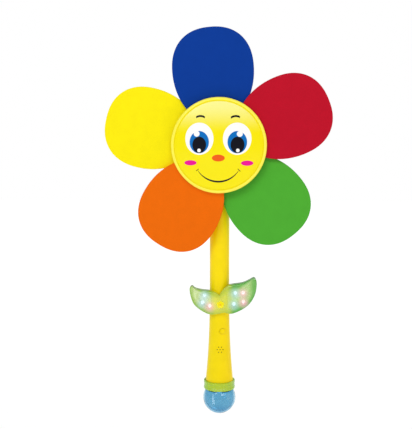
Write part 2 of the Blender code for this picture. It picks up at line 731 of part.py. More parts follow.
def make_motor(can_finish, cap_finish, magnet_finish):
    low, high = MOTOR_Y
    inner = MOTOR_R - MOTOR_WALL
    shaft_hole = MOTOR_SHAFT_R + RUN
    can = (
        (shaft_hole, low - MOTOR_NOSE),
        (MOTOR_NOSE_R, low - MOTOR_NOSE),
        (MOTOR_NOSE_R, low),
        (MOTOR_R, low),
        (MOTOR_R, high),
        (inner, high),
        (inner, low + MOTOR_WALL),
        (shaft_hole, low + MOTOR_WALL),
    )
    turned("motor_can", can, along_y, MOTOR_CENTRE, MEDIUM, can_finish)
    plug = high - 1.5
    cap = (
        (shaft_hole, plug),
        (inner - GAP, plug),
        (inner - GAP, MOTOR_CAP_Y[0]),
        (MOTOR_R, MOTOR_CAP_Y[0]),
        (MOTOR_R, MOTOR_CAP_Y[1]),
        (shaft_hole, MOTOR_CAP_Y[1]),
    )
    turned("motor_end_cap", cap, along_y, MOTOR_CENTRE, MEDIUM, cap_finish)
    height = (MOTOR_CENTRE[1] - MOTOR_R, MOTOR_CENTRE[1] + MOTOR_R)
    inner = MAGNET_R - MAGNET_THICKNESS
    for side, name in ((-1, "motor_magnet_left"), (1, "motor_magnet_right")):
        magnet = ring(name, inner, MAGNET_R, *MAGNET_Y, along_y, MOTOR_CENTRE, MEDIUM, magnet_finish)
        kept = sorted((side * MAGNET_HALF_GAP, side * MOTOR_R))
        combine(magnet, box(name + "_side", kept, MOTOR_Y, height), "INTERSECT")


def make_motor_rotor(steel, winding):
    shaft_y = (PINION_Y[0] - 0.3, MOTOR_CAP_Y[1] + 0.8)
    shaft = rod("motor_shaft", MOTOR_SHAFT_R, *shaft_y, along_y, MOTOR_CENTRE, MEDIUM, steel)
    core = (MAGNET_Y[0] + 0.5, MAGNET_Y[1] - 0.5)
    armature = rod("motor_armature", ARMATURE_R, *core, along_y, MOTOR_CENTRE, MEDIUM, winding)
    boss(armature, "commutator", COMMUTATOR_R, core[1] - ROOT, MOTOR_Y[1] - 2.2, MOTOR_CENTRE)
    hole(armature, "armature_bore", MOTOR_SHAFT_R + RUN, *MOTOR_Y, MOTOR_CENTRE, MEDIUM)
    for slot in range(ARMATURE_SLOTS):
        place = polar(ARMATURE_R, 90.0 + 360.0 * slot / ARMATURE_SLOTS, MOTOR_CENTRE)
        hole(armature, f"armature_slot_{slot}", 1.0, core[0] - 1.0, core[1] + 1.0, place)
    return shaft, armature


def make_bushes(finish):
    bore = SHAFT_R + RUN
    seat = POD_FRONT_INNER + GAP
    front = (
        (bore, POD_FRONT - 0.3),
        (BUSH_R, POD_FRONT - 0.3),
        (BUSH_R, seat),
        (BUSH_FLANGE_R, seat),
        (BUSH_FLANGE_R, seat + 0.4),
        (bore, seat + 0.4),
    )
    turned("shaft_front_bush", front, along_y, HUB_CENTRE, MEDIUM, finish)
    seat = PLATE_Y[1] + GAP
    rear = (
        (bore, PLATE_Y[0] - 0.2),
        (BUSH_R, PLATE_Y[0] - 0.2),
        (BUSH_R, seat),
        (BUSH_FLANGE_R, seat),
        (BUSH_FLANGE_R, seat + 0.6),
        (bore, seat + 0.6),
    )
    turned("shaft_rear_bush", rear, along_y, HUB_CENTRE, MEDIUM, finish)


def make_rotor_shaft(finish):
    return rod("rotor_shaft", SHAFT_R, HUB_SHAFT_END, PLATE_Y[1] + 1.8, along_y, HUB_CENTRE, MEDIUM, finish)


def make_hub(finish):
    """The back plate, with a boss on the shaft and a shouldered pin for each petal."""
    plate = rod("hub_back_plate", HUB_R, HUB_FRONT, HUB_BACK, along_y, HUB_CENTRE, ROUND, finish)
    root = HUB_FRONT + ROOT
    boss(plate, "hub_boss", HUB_BOSS_R, CLAMP_BACK + GAP, root, HUB_CENTRE, MEDIUM)
    for colour, degrees, layer, _ in PETALS:
        place = polar(PETAL_PIN_RING, degrees + PETAL_TURN)
        if layer > 0:
            boss(plate, f"shoulder_{colour}", PETAL_SHOULDER_R, PETAL_LAYER_BACKS[layer] + GAP, root, place)
        boss(plate, f"pin_{colour}", PETAL_PIN_R, CLAMP_FRONT + 0.6, root, place, SCREW_SIDES)
    hole(plate, "hub_bore", SHAFT_R + RUN, HUB_SHAFT_END - GAP, HUB_BACK + 1.0, HUB_CENTRE, MEDIUM)
    hole(plate, "hub_screw_hole", PILOT_R, CLAMP_FRONT, HUB_SHAFT_END, HUB_CENTRE)
    return plate


def make_petal_clamp(finish):
    disc = rod("petal_clamp", HUB_R, CLAMP_FRONT, CLAMP_BACK, along_y, HUB_CENTRE, ROUND, finish)
    through = (CLAMP_FRONT - 1.0, CLAMP_BACK + 1.0)
    for colour, degrees, _, _ in PETALS:
        place = polar(PETAL_PIN_RING, degrees + PETAL_TURN)
        hole(disc, f"clamp_hole_{colour}", PETAL_PIN_R + GAP, *through, place)
    hole(disc, "clamp_screw_hole", PILOT_R, *through, HUB_CENTRE)
    return disc


def petal_half_width(reach):
    """The petal's half width at a distance from the hub's centre: a full tip, and a taper to the root."""
    if reach >= PETAL_WIDEST:
        share = min((reach - PETAL_WIDEST) / (PETAL_TIP - PETAL_WIDEST), 1.0)
        return PETAL_HALF_WIDTH * (1 - share**PETAL_TIP_POWER) ** (1 / PETAL_TIP_POWER)
    share = min((PETAL_WIDEST - reach) / PETAL_ROOT_REACH, 1.0)
    return max(PETAL_HALF_WIDTH * math.sqrt(1 - share**2), PETAL_TAB_HALF)


def petal_outline():
    tab_share = math.sqrt(1 - (PETAL_TAB_HALF / PETAL_HALF_WIDTH) ** 2)
    root_length = PETAL_ROOT_REACH * tab_share
    side = [(PETAL_TAB_START, PETAL_TAB_HALF)]
    for step in range(PETAL_STEPS + 1):
        angle = math.pi / 2 * step / PETAL_STEPS
        reach = PETAL_WIDEST - root_length * math.cos(angle)
        side.append((reach, petal_half_width(reach)))
    for step in range(1, PETAL_STEPS):
        angle = math.pi / 2 * step / PETAL_STEPS
        reach = PETAL_WIDEST + (PETAL_TIP - PETAL_WIDEST) * math.sin(angle) ** 0.9
        side.append((reach, petal_half_width(reach)))
    return [(u, -v) for u, v in side] + [(PETAL_TIP, 0.0)] + [(u, v) for u, v in reversed(side)]


def make_petals():
    petals = []
    for colour, degrees, layer, paint in PETALS:
        angle = math.radians(degrees + PETAL_TURN)
        outline = []
        for u, v in petal_outline():
            across = u * math.cos(angle) - v * math.sin(angle)
            up = u * math.sin(angle) + v * math.cos(angle)
            outline.append((across, FACE_Z + up))
        back = PETAL_LAYER_BACKS[layer]
        finish = material(f"foam_{colour}", paint, 0.75)
        petal = prism(f"petal_{colour}", outline, back - PETAL_THICKNESS, back, along_y, finish)
        place = polar(PETAL_PIN_RING, degrees + PETAL_TURN)
        through = (back - PETAL_THICKNESS - 1.0, back + 1.0)
        hole(petal, f"petal_hole_{colour}", PETAL_PIN_R + GAP, *through, place)
        petals.append(petal)
    return petals


def make_face_cover(finish):
    """A shallow domed cap, with a collar inside that snaps over the clamp disc."""
    edge_r = FACE_R - FACE_EDGE
    sag = FACE_RIM_FRONT - 0.8 * FACE_EDGE - FACE_APEX
    sphere = (edge_r**2 + sag**2) / (2 * sag)

    def dome(radius, drop=0.0):
        return (radius, FACE_APEX + drop + sphere - math.sqrt(sphere**2 - radius**2))

    def under(radius):
        return dome(radius, FACE_WALL)

    inner_r = FACE_R - FACE_WALL
    collar_in = HUB_R + GAP
    collar_out = collar_in + FACE_COLLAR
    profile = [dome(edge_r * i / DOME_STEPS) for i in range(DOME_STEPS + 1)]
    profile += [(FACE_R, FACE_RIM_FRONT), (FACE_R, FACE_RIM_BACK)]
    profile += [(inner_r, FACE_RIM_BACK), under(inner_r), under(collar_out)]
    profile += [(collar_out, FACE_RIM_BACK), (collar_in, FACE_RIM_BACK), under(collar_in)]
    profile += [under(collar_in * 0.5), under(0)]
    return turned("face_cover", profile, along_y, HUB_CENTRE, ROUND, finish)


def make_batteries(jacket, steel):
    centre = (0.0, CELL_Y)
    for number in range(CELLS):
        low = CELLS_START + number * CELL_PITCH
        body = low + CELL_BODY
        profile = (
            (0, low),
            (CELL_R - CELL_EDGE, low),
            (CELL_R, low + CELL_EDGE),
            (CELL_R, body - CELL_EDGE),
            (CELL_R - CELL_EDGE, body),
            (CELL_NUB_R, body),
            (CELL_NUB_R, body + CELL_NUB),
            (0, body + CELL_NUB),
        )
        turned(f"battery_cell_{number + 1}", profile, along_z, centre, MEDIUM, jacket)
    contact = (CELLS_END, CELLS_END + CONTACT_THICKNESS)
    rod("battery_contact", CELL_R - 0.5, *contact, along_z, centre, SMALL, steel)
    make_spring(steel)


def wire(name, points, radius, finish):
    """A round wire through the points, in straight steps."""
    curve = bpy.data.curves.new(name, "CURVE")
    curve.dimensions = "3D"
    curve.bevel_depth = radius * MM
    curve.bevel_resolution = 1
    curve.use_fill_caps = True
    spline = curve.splines.new("POLY")
    spline.points.add(len(points) - 1)
    for place, point in zip(points, spline.points):
        point.co = (*(Vector(place) * MM), 1.0)
    curve.materials.append(finish)
    obj = bpy.data.objects.new(name, curve)
    bpy.context.scene.collection.objects.link(obj)


def make_spring(finish):
    """A conical coil between the lower bulkhead and the first cell."""
    low = LOW_BULKHEAD_Z + BULKHEAD + GAP + SPRING_WIRE_R
    high = CELLS_START - GAP - SPRING_WIRE_R
    count = SPRING_TURNS * SPRING_STEPS
    points = []
    for step in range(count + 1):
        share = step / count
        angle = 2 * math.pi * step / SPRING_STEPS
        radius = SPRING_R[0] + (SPRING_R[1] - SPRING_R[0]) * share
        across = radius * math.cos(angle)
        points.append((across, CELL_Y + radius * math.sin(angle), low + (high - low) * share))
    wire("battery_spring", points, SPRING_WIRE_R, finish)


def make_motor_lead(finish):
    """The twin lead from the board, past the cells and through the gearbox plate, to the motor's end cap."""
    start = BOARD_Z[1] + 1.0
    pod_low = FACE_Z - POD_R
    behind = MOTOR_CAP_Y[1] + 1.3
    route = (
        (LEAD_X, LEAD_Y + 0.1, start),
        (LEAD_X, LEAD_Y, start + (pod_low - start) / 3),
        (LEAD_X, LEAD_Y, start + (pod_low - start) * 2 / 3),
        (LEAD_X, LEAD_Y + 0.6, pod_low - 5.0),
        (LEAD_X, 0.5, pod_low + 5.5),
        (LEAD_X + 0.8, 8.0, pod_low + 10.0),
        (LEAD_X + 2.2, behind - 4.8, pod_low + 19.0),
        (LEAD_X + 3.0, behind, MOTOR_CENTRE[1] - 9.0),
        (LEAD_X + 3.3, behind, MOTOR_CENTRE[1] - 3.5),
    )
    wire("motor_lead", smooth_run(route, 3) + [route[-1]], LEAD_R, finish)


def control_piece(piece):
    piece.rotation_euler.z = math.radians(CONTROL_ANGLE)
    return piece


def make_controls(board_finish, switch_finish, buzzer_finish):
    low, high = BOARD_Z
    outline = ((-BOARD_HALF, low), (BOARD_HALF, low), (BOARD_HALF, high), (-BOARD_HALF, high))
    control_piece(prism("circuit_board", outline, BOARD_BACK, BOARD_FRONT, radial, board_finish))
    seat = BOARD_FRONT + GAP
    low = BUTTON_Z - SWITCH_HALF
    high = BUTTON_Z + SWITCH_HALF
    corners = ((-SWITCH_HALF, low), (SWITCH_HALF, low), (SWITCH_HALF, high), (-SWITCH_HALF, high))
    switch = control_piece(prism("tact_switch", corners, seat, SWITCH_TOP - 0.4, radial, switch_finish))
    plunger = rod("switch_plunger", PLUNGER_R, SWITCH_TOP - 1.0, SWITCH_TOP, radial, (0.0, BUTTON_Z))
    join(switch, control_piece(plunger))
    top = seat + BUZZER_DEPTH
    buzzer = (
        (0, seat),
        (BUZZER_R, seat),
        (BUZZER_R, top - 0.4),
        (BUZZER_R - 0.5, top),
        (1.0, top),
        (1.0, top - 1.0),
        (0, top - 1.0),
    )
    control_piece(turned("buzzer", buzzer, radial, (0.0, BUZZER_Z), MEDIUM, buzzer_finish))


def make_push_button(finish):
    """A capped plunger with a flange that stops it inside the wall. It slides along the stick's radius."""
    back = SWITCH_TOP + BUTTON_TRAVEL + 0.1
    flange = back + BUTTON_FLANGE_THICKNESS
    face = stem_radius(BUTTON_Z) + BUTTON_RISE
    profile = (
        (0, back),
        (BUTTON_R + BUTTON_FLANGE, back),
        (BUTTON_R + BUTTON_FLANGE, flange),
        (BUTTON_R, flange),
        (BUTTON_R, face - 1.0),
        (BUTTON_R * 0.85, face - 0.4),
        (BUTTON_R * 0.5, face - 0.1),
        (0, face),
    )
    button = turned("push_button", profile, radial, (0.0, 0.0), MEDIUM, finish)
    button.location = Vector((0.0, 0.0, BUTTON_Z)) * MM
    return control_piece(button)


def leaf_outline():
    """Both leaves as one outline, running anticlockwise from the notch between them."""
    outline = []
    for stretch in LEAF_OUTLINE:
        outline += smooth_run(stretch, LEAF_STEPS)
    return [(LEAF_X + a, LEAF_Z + b) for a, b in outline]


def stem_relief(name):
    along = (LEAF_Z - 60.0, LEAF_Z + 60.0)
    return rod(name, STEM_R + GAP, *along, along_z, (0.0, 0.0), ROUND)


def leaf_cover(name, outline, joint, rim, crown, finish):
    """A leaf-shaped cover from its joint plane over a rounded edge to its flat crown."""
    spine = [(LEAF_X + a, LEAF_Z + b) for a, b in smooth_run(LEAF_SPINE, 12)]
    rise = crown - rim
    layers = [(outline, joint), (outline, rim)]
    for share, height in LEAF_CROWN:
        layers.append((drawn_in(outline, spine, share), rim + rise * height))
    return layered_prism(name, layers, finish)


def make_leaves(finish):
    outline = leaf_outline()
    pocket = inset_outline(outline, LEAF_WALL)
    place = (LEAF_X, LEAF_Z)
    joint = LEAF_PARTING - GAP / 2
    front = leaf_cover("leaf_front_cover", outline, joint, LEAF_FRONT + LEAF_EDGE, LEAF_FRONT, finish)
    cut(front, prism("leaf_front_pocket", pocket, LEAF_FRONT + LEAF_SHELL, 0.0, along_y))
    boss(front, "leaf_screw_boss", WELL_BOSS_R, LEAF_FRONT + ROOT, -STEM_R - 2 * GAP, place)
    cut(front, stem_relief("leaf_front_relief"))
    hole(front, "leaf_screw_well", WELL_R, LEAF_FRONT - 1.0, LEAF_SEAT_Y, place, SMALL)
    hole(front, "leaf_screw_hole", PILOT_R, LEAF_FRONT, 0.0, place)
    joint = LEAF_PARTING + GAP / 2
    back = leaf_cover("leaf_rear_cover", outline, joint, LEAF_BACK - LEAF_EDGE, LEAF_BACK, finish)
    cut(back, prism("leaf_rear_pocket", pocket, LEAF_FRONT, LEAF_BACK - LEAF_SHELL, along_y))
    for side, a, b in LEAF_POSTS:
        post_place = (LEAF_X + a, LEAF_Z + b)
        boss(back, f"leaf_post_{side}", LEAF_POST_R, LEAF_BOARD_Y[1] + GAP, LEAF_BACK - ROOT, post_place)
    cut(back, stem_relief("leaf_rear_relief"))


def layered_prism(name, layers, finish):
    """A solid through outlines of equal length, each at its own depth."""
    count = len(layers[0][0])
    points = []
    for outline, depth in layers:
        points += [along_y(a, b, depth) for a, b in outline]
    last = (len(layers) - 1) * count
    faces = [tuple(range(count)), tuple(range(last + count - 1, last - 1, -1))]
    for layer in range(len(layers) - 1):
        start = layer * count
        for i in range(count):
            after = (i + 1) % count
            faces.append((start + i, start + after, start + count + after, start + count + i))
    return solid(name, points, faces, finish)


def make_leaf_boards(finish):
    inner = inset_outline(leaf_outline(), LEAF_BOARD_INSET)
    height = (LEAF_Z - 60.0, LEAF_Z + 60.0)
    depth = (LEAF_BOARD_Y[0] - 2.0, LEAF_BOARD_Y[1] + 2.0)
    for side, name in ((-1, "leaf_board_left"), (1, "leaf_board_right")):
        board = prism(name, inner, *LEAF_BOARD_Y, along_y, finish)
        kept = sorted((side * LEAF_BOARD_START, side * 60.0))
        combine(board, box(name + "_side", kept, depth, height), "INTERSECT")


def make_leaf_lights(finish):
    seat = LEAF_BOARD_Y[0] - GAP
    tip = seat - LED_LENGTH
    flange_r = LED_R + LED_FLANGE
    profile = (
        (0, seat),
        (flange_r, seat),
        (flange_r, seat - LED_FLANGE_THICKNESS),
        (LED_R, seat - LED_FLANGE_THICKNESS),
        (LED_R, tip + LED_R),
        (LED_R * 0.7, tip + LED_R * 0.3),
        (0, tip),
    )
    for name, a, b in LEDS:
        turned(name, profile, along_y, (LEAF_X + a, LEAF_Z + b), SCREW_SIDES, finish)


def make_leaf_plug(finish):
    """A five-petalled cap that hides the leaves' screw."""
    outline = []
    for step in range(PLUG_STEPS):
        angle = 2 * math.pi * step / PLUG_STEPS
        radius = PLUG_R * (0.86 + 0.14 * math.cos(PLUG_PETALS * angle - math.pi / 2))
        outline.append((LEAF_X + radius * math.cos(angle), LEAF_Z + radius * math.sin(angle)))
    seat = LEAF_FRONT - GAP
    shank_end = LEAF_SEAT_Y - GAP - SCREW_HEAD - GAP
    plug = prism("leaf_flower_plug", outline, seat - PLUG_THICKNESS, seat, along_y, finish)
    boss(plug, "plug_shank", PLUG_SHANK_R, seat - 0.2, shank_end, (LEAF_X, LEAF_Z))


def make_collar(finish):
    spigot = SPIGOT_R + GAP
    step = HANDLE_END - GAP
    mouth = stem_radius(HANDLE_END) + GAP
    low, high = COLLAR_Z
    profile = (
        (spigot, low),
        (COLLAR_R - COLLAR_EDGE, low),
        (COLLAR_R, low + COLLAR_EDGE),
        (COLLAR_R, high - COLLAR_EDGE),
        (COLLAR_R - COLLAR_EDGE, high),
        (mouth, high),
        (mouth, step),
        (spigot, step),
    )
    turned("collar_ring", profile, along_z, steps=ROUND, finish=finish)


def ball_run(radius, low, high):
    """Points on the ball from one angle to another, without the last one."""
    run = []
    for step in range(BALL_STEPS):
        angle = low + (high - low) * step / BALL_STEPS
        run.append((radius * math.cos(angle), GLOBE_Z + radius * math.sin(angle)))
    return run


def make_globe(finish):
    """A ball that is open at its neck, with a flange that sits above the stick's rib."""
    shoulder = COLLAR_Z[0] - GAP
    inner_shoulder = shoulder - GLOBE_WALL
    inner_r = GLOBE_R - GLOBE_WALL
    neck_in = GLOBE_NECK_R - GLOBE_NECK_WALL
    bottom = -math.pi / 2
    top = math.asin((shoulder - GLOBE_Z) / GLOBE_R)
    inner_top = math.asin((inner_shoulder - GLOBE_Z) / inner_r)
    outer = [(0, GLOBE_Z - GLOBE_R)] + ball_run(GLOBE_R, bottom, top)[1:]
    outer.append((GLOBE_R * math.cos(top), shoulder))
    neck = [(GLOBE_NECK_R, shoulder), (GLOBE_NECK_R, GLOBE_FLANGE_Z[0]), (GLOBE_FLANGE_R, GLOBE_FLANGE_Z[0])]
    neck += [(GLOBE_FLANGE_R, GLOBE_FLANGE_Z[1]), (neck_in, GLOBE_FLANGE_Z[1]), (neck_in, inner_shoulder)]
    inner = ball_run(inner_r, inner_top, bottom) + [(0, GLOBE_Z - inner_r)]
    turned("globe_shell", outer + neck + inner, along_z, steps=ROUND, finish=finish)


def make_globe_light(holder_finish, led_finish):
    low, high = HOLDER_Z
    holder_r = SPIGOT_R - WALL - 2 * GAP
    spigot_r = GLOBE_NECK_R - GLOBE_NECK_WALL - GAP
    holder = rod("globe_led_holder", holder_r, low, high, along_z, steps=MEDIUM, finish=holder_finish)
    join(holder, rod("holder_spigot", spigot_r, low - HOLDER_SPIGOT, low + ROOT, along_z, steps=MEDIUM))
    seat = low - HOLDER_SPIGOT - GAP
    tip = seat - GLOBE_LED_LENGTH
    profile = (
        (0, seat),
        (GLOBE_LED_R + 0.4, seat),
        (GLOBE_LED_R + 0.4, seat - 1.0),
        (GLOBE_LED_R, seat - 1.0),
        (GLOBE_LED_R, tip + GLOBE_LED_R),
        (GLOBE_LED_R * 0.87, tip + 1.3),
        (GLOBE_LED_R * 0.5, tip + 0.3),
        (0, tip),
    )
    turned("globe_led", profile, along_z, steps=SMALL, finish=led_finish)


def build():
    clear_scene()
    yellow = material("yellow_plastic", (0.93, 0.77, 0.0), 0.3)
    face_yellow = material("face_plastic", (0.95, 0.83, 0.01), 0.15)
    white = material("white_plastic", (0.8, 0.8, 0.8), 0.4)
    natural = material("natural_nylon", (0.75, 0.73, 0.66), 0.45)
    steel = material("steel", (0.6, 0.6, 0.6), 0.25, 1.0)
    brass = material("brass", (0.7, 0.5, 0.2), 0.3, 1.0)
    black = material("black_plastic", (0.02, 0.02, 0.02), 0.5)
    ferrite = material("ferrite", (0.05, 0.05, 0.05), 0.6)
    copper = material("copper", (0.7, 0.3, 0.15), 0.35, 1.0)
    board = material("circuit_laminate", (0.02, 0.2, 0.06), 0.4)
    jacket = material("battery_jacket", (0.1, 0.12, 0.14), 0.3)
    clear_green = material("clear_green", (0.3, 0.65, 0.1), 0.1)
    clear_blue = material("clear_blue", (0.1, 0.45, 0.7), 0.05)
    led_clear = material("led_clear", (0.8, 0.85, 0.95), 0.1)
    lead = material("lead_insulation", (0.5, 0.02, 0.02), 0.5)

    make_front_shell(yellow)
    make_rear_shell(yellow)
    make_gearbox_plate(white)
    for number, place in enumerate(shell_screw_places(), 1):
        make_screw(f"shell_screw_{number}", place, HEAD_SEAT_Y + GAP, SHELL_SCREW, steel)
    for number, angle in enumerate(PLATE_SCREW_ANGLES, 1):
        place = polar(PLATE_SCREW_RING, angle)
        make_screw(f"plate_screw_{number}", place, PLATE_Y[1] + GAP, PLATE_SCREW, steel)
    make_motor(steel, white, ferrite)
    make_bushes(brass)
    pin = (POD_FRONT_INNER + 0.4, PLATE_Y[1] - GAP)
    rod("idler_pin", IDLER_PIN_R, *pin, along_y, IDLER_CENTRE, MEDIUM, steel)
    make_batteries(jacket, steel)
    make_motor_lead(lead)
    make_controls(board, black, black)
    make_leaves(clear_green)
    make_leaf_boards(white)
    make_leaf_lights(led_clear)
    make_leaf_plug(face_yellow)
    make_screw("leaf_screw", (LEAF_X, LEAF_Z), LEAF_SEAT_Y - GAP, LEAF_SCREW, steel, -1.0)
    make_collar(clear_green)
    make_globe(clear_blue)
    make_globe_light(white, led_clear)
    make_push_button(yellow)

    output, idler, pinion = make_gears(natural)
    rotor_axis = empty("rotor_axis", (0.0, 0.0, FACE_Z))
    hub = make_hub(white)
    clamp = make_petal_clamp(white)
    face = make_face_cover(face_yellow)
    screw = make_screw("hub_screw", HUB_CENTRE, CLAMP_FRONT - GAP, HUB_SCREW, steel, -1.0)
    hang_on(rotor_axis, output, hub, clamp, face, screw, make_rotor_shaft(steel), *make_petals())
    idler_axis = empty("idler_axis", (IDLER_CENTRE[0], 0.0, IDLER_CENTRE[1]))
    hang_on(idler_axis, idler)
    motor_axis = empty("motor_axis", (MOTOR_CENTRE[0], 0.0, MOTOR_CENTRE[1]))
    hang_on(motor_axis, pinion, *make_motor_rotor(steel, copper))
    door_axis = empty("battery_door_axis", (0.0, 0.0, DOOR_SCREW_Z))
    door = make_battery_door(yellow)
    door_screw = make_screw("battery_door_screw", (0.0, DOOR_SCREW_Z), DOOR_HEAD_Y + GAP, DOOR_SCREW, steel)
    hang_on(door_axis, door, door_screw)


build()
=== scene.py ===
# %% [markdown]
# This lesson finishes a toy flower pinwheel. Its engineering model gives every part a size, a place and
# a joint, and this file gives the parts their looks. Each step first says what the real piece is, how it
# could be made in Blender, and why one way was picked.

# %% Load the engineering model
import json
import math

import bmesh
import bpy
from mathutils import Matrix, Vector

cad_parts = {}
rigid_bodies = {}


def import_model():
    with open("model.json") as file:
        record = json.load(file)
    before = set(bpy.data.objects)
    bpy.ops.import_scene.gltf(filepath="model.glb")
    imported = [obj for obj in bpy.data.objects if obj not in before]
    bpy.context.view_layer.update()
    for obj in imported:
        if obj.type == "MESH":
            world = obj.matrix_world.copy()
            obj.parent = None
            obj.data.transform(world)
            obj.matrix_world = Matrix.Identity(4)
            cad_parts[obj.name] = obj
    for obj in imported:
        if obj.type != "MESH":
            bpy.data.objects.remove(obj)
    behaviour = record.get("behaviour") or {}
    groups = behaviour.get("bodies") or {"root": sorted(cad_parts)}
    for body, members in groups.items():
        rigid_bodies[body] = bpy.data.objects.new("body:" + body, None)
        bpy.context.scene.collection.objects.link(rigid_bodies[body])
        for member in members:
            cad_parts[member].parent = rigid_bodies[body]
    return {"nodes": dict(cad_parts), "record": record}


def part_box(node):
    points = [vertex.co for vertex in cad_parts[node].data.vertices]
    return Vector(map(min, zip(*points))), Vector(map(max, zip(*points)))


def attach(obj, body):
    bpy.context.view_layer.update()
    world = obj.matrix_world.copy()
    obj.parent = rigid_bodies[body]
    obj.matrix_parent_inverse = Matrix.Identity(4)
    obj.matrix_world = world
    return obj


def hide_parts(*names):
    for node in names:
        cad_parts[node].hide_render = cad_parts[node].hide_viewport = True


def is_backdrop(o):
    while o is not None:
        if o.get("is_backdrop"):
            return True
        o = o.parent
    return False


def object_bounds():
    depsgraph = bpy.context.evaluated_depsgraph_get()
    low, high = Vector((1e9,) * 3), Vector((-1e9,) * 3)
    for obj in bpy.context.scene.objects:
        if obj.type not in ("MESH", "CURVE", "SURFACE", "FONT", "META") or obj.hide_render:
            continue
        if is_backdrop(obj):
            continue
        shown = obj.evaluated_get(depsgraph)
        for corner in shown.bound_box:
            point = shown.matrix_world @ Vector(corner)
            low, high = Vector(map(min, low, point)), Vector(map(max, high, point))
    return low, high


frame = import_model()
cad_box = [list(corner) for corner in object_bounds()]
print("model size in mm:", [round(1000 * (b - a), 1) for a, b in zip(*cad_box)])

# %% [markdown]
# The model is in metres, and a toy is easier to think about in millimetres. So shapes are written in
# millimetres and scaled once, when a mesh is made. Places are read from the model's own parts.

# %% Places that the rest of the file uses
MM = 0.001


def middle(node):
    """The middle of one of the model's parts, in millimetres."""
    low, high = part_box(node)
    return (low + high) / 2 / MM


def extent(node, axis):
    """The lowest and highest value of one of the model's parts along an axis, in millimetres."""
    low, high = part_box(node)
    return low[axis] / MM, high[axis] / MM


face_z = middle("face_cover").z
leaf_x = middle("leaf_screw").x
leaf_z = middle("leaf_screw").z
print("flower centre", round(face_z, 2), "leaf centre", round(leaf_x, 2), round(leaf_z, 2))

# %% [markdown]
# ## The camera
# The toy is held up, so nothing touches the ground. A long lens from about eight tenths of a metre, level
# with the flower's centre and tipped a little down, keeps the flower round and the stick straight.
# A Blender camera looks along its own -Z, so it is turned up by a little less than a right angle. It
# stands a little to the right of the stick and is turned back towards it by a few degrees.

# %% Camera
camera_data = bpy.data.cameras.new("camera")
camera_data.lens = 65.4
camera_data.sensor_width = 36.0
camera = bpy.data.objects.new("camera", camera_data)
camera.location = (0.0325, -0.804, 0.2068)
camera.rotation_euler = (math.radians(84.8), 0.0, math.radians(3.32))
bpy.context.scene.collection.objects.link(camera)
bpy.context.scene.camera = camera
print("camera distance in mm:", round(camera.location.y / MM))

# %% [markdown]
# ## Light and floor
# Bright plastic looks best in a white tent: light from everywhere, and one large lamp above the lens that
# leaves a soft gleam on rounded parts. An even world colour is the tent. Area lamps are the soft lamps.
# A weak warm one at the right stands for a bounce card, which turns the stick's shaded side to amber.
# The view transform is the plain one, because film-like transforms wash out pure toy colours. The tent's
# cloth looks pure white but gives less light than that, so that the lamps still shape the toy.

# %% World
tent_brightness = {"as light": 0.43, "as seen": 1.0}
bpy.context.scene.view_settings.view_transform = "Standard"
world = bpy.data.worlds.new("tent")
world.use_nodes = True
tent_light = world.node_tree.nodes["Background"]
tent_light.inputs["Color"].default_value = (1.0, 1.0, 1.0, 1.0)
tent_cloth = world.node_tree.nodes.new("ShaderNodeMapRange")
tent_cloth.inputs["To Min"].default_value = tent_brightness["as light"]
tent_cloth.inputs["To Max"].default_value = tent_brightness["as seen"]
seen = world.node_tree.nodes.new("ShaderNodeLightPath")
world.node_tree.links.new(seen.outputs["Is Camera Ray"], tent_cloth.inputs["Value"])
world.node_tree.links.new(tent_cloth.outputs["Result"], tent_light.inputs["Strength"])
bpy.context.scene.world = world
print("tent:", tent_brightness)

# %% Lamps


def area_lamp(name, place, target, width, height, power, tint=(1.0, 1.0, 1.0)):
    """A soft square lamp that looks at a target. Sizes are in metres and its power in watts."""
    data = bpy.data.lights.new(name, "AREA")
    data.color = tint
    data.shape = "RECTANGLE"
    data.size = width
    data.size_y = height
    data.energy = power
    lamp = bpy.data.objects.new(name, data)
    lamp.location = place
    lamp.rotation_euler = (Vector(target) - Vector(place)).to_track_quat("-Z", "Y").to_euler()
    bpy.context.scene.collection.objects.link(lamp)
    return lamp


flower_middle = (0.0, 0.0, 0.205)
handle_middle = (0.0, 0.0, 0.05)
amber_light = (1.0, 0.6, 0.14)
area_lamp("key", (-0.75, -1.25, 1.15), flower_middle, 0.7, 0.7, 5.9)
area_lamp("top", (0.0, -0.85, 0.95), flower_middle, 0.9, 0.35, 3.0)
area_lamp("back", (0.5, 0.9, 0.8), flower_middle, 0.6, 0.6, 4.5)
area_lamp("warm_bounce", (1.0, -0.35, 0.1), handle_middle, 0.6, 0.6, 1.4, amber_light)

# %% [markdown]
# ## Writing shader sums as plain Python
# A pattern is a formula: how far is this point from that line, and how much paint is there. In the shader
# editor each plus and minus is a node of its own. A small class wraps a socket and turns Python's own
# operators into those nodes, so that a formula stays readable.

# %% A socket that can be added and multiplied


class Value:
    """A shader socket that takes part in Python sums."""

    def __init__(self, finish, socket):
        self.finish = finish
        self.socket = socket

    def sum(self, operation, *parts):
        return self.finish.node("ShaderNodeMath", {"operation": operation}, dict(enumerate(parts)))

    def __add__(self, other):
        return self.sum("ADD", self, other)

    def __sub__(self, other):
        return self.sum("SUBTRACT", self, other)

    def __rsub__(self, other):
        return self.sum("SUBTRACT", other, self)

    def __mul__(self, other):
        return self.sum("MULTIPLY", self, other)

    def __truediv__(self, other):
        return self.sum("DIVIDE", self, other)

    def __pow__(self, other):
        return self.sum("POWER", self, other)

    def __abs__(self):
        return self.sum("ABSOLUTE", self)

    def root(self):
        return self.sum("SQRT", self)

    def wave(self):
        return self.sum("SINE", self)

    def larger(self, other):
        return self.sum("MAXIMUM", self, other)

    def smaller(self, other):
        return self.sum("MINIMUM", self, other)

    __radd__ = __add__
    __rmul__ = __mul__


print("sums:", sorted(name for name in vars(Value) if not name.startswith("__")))

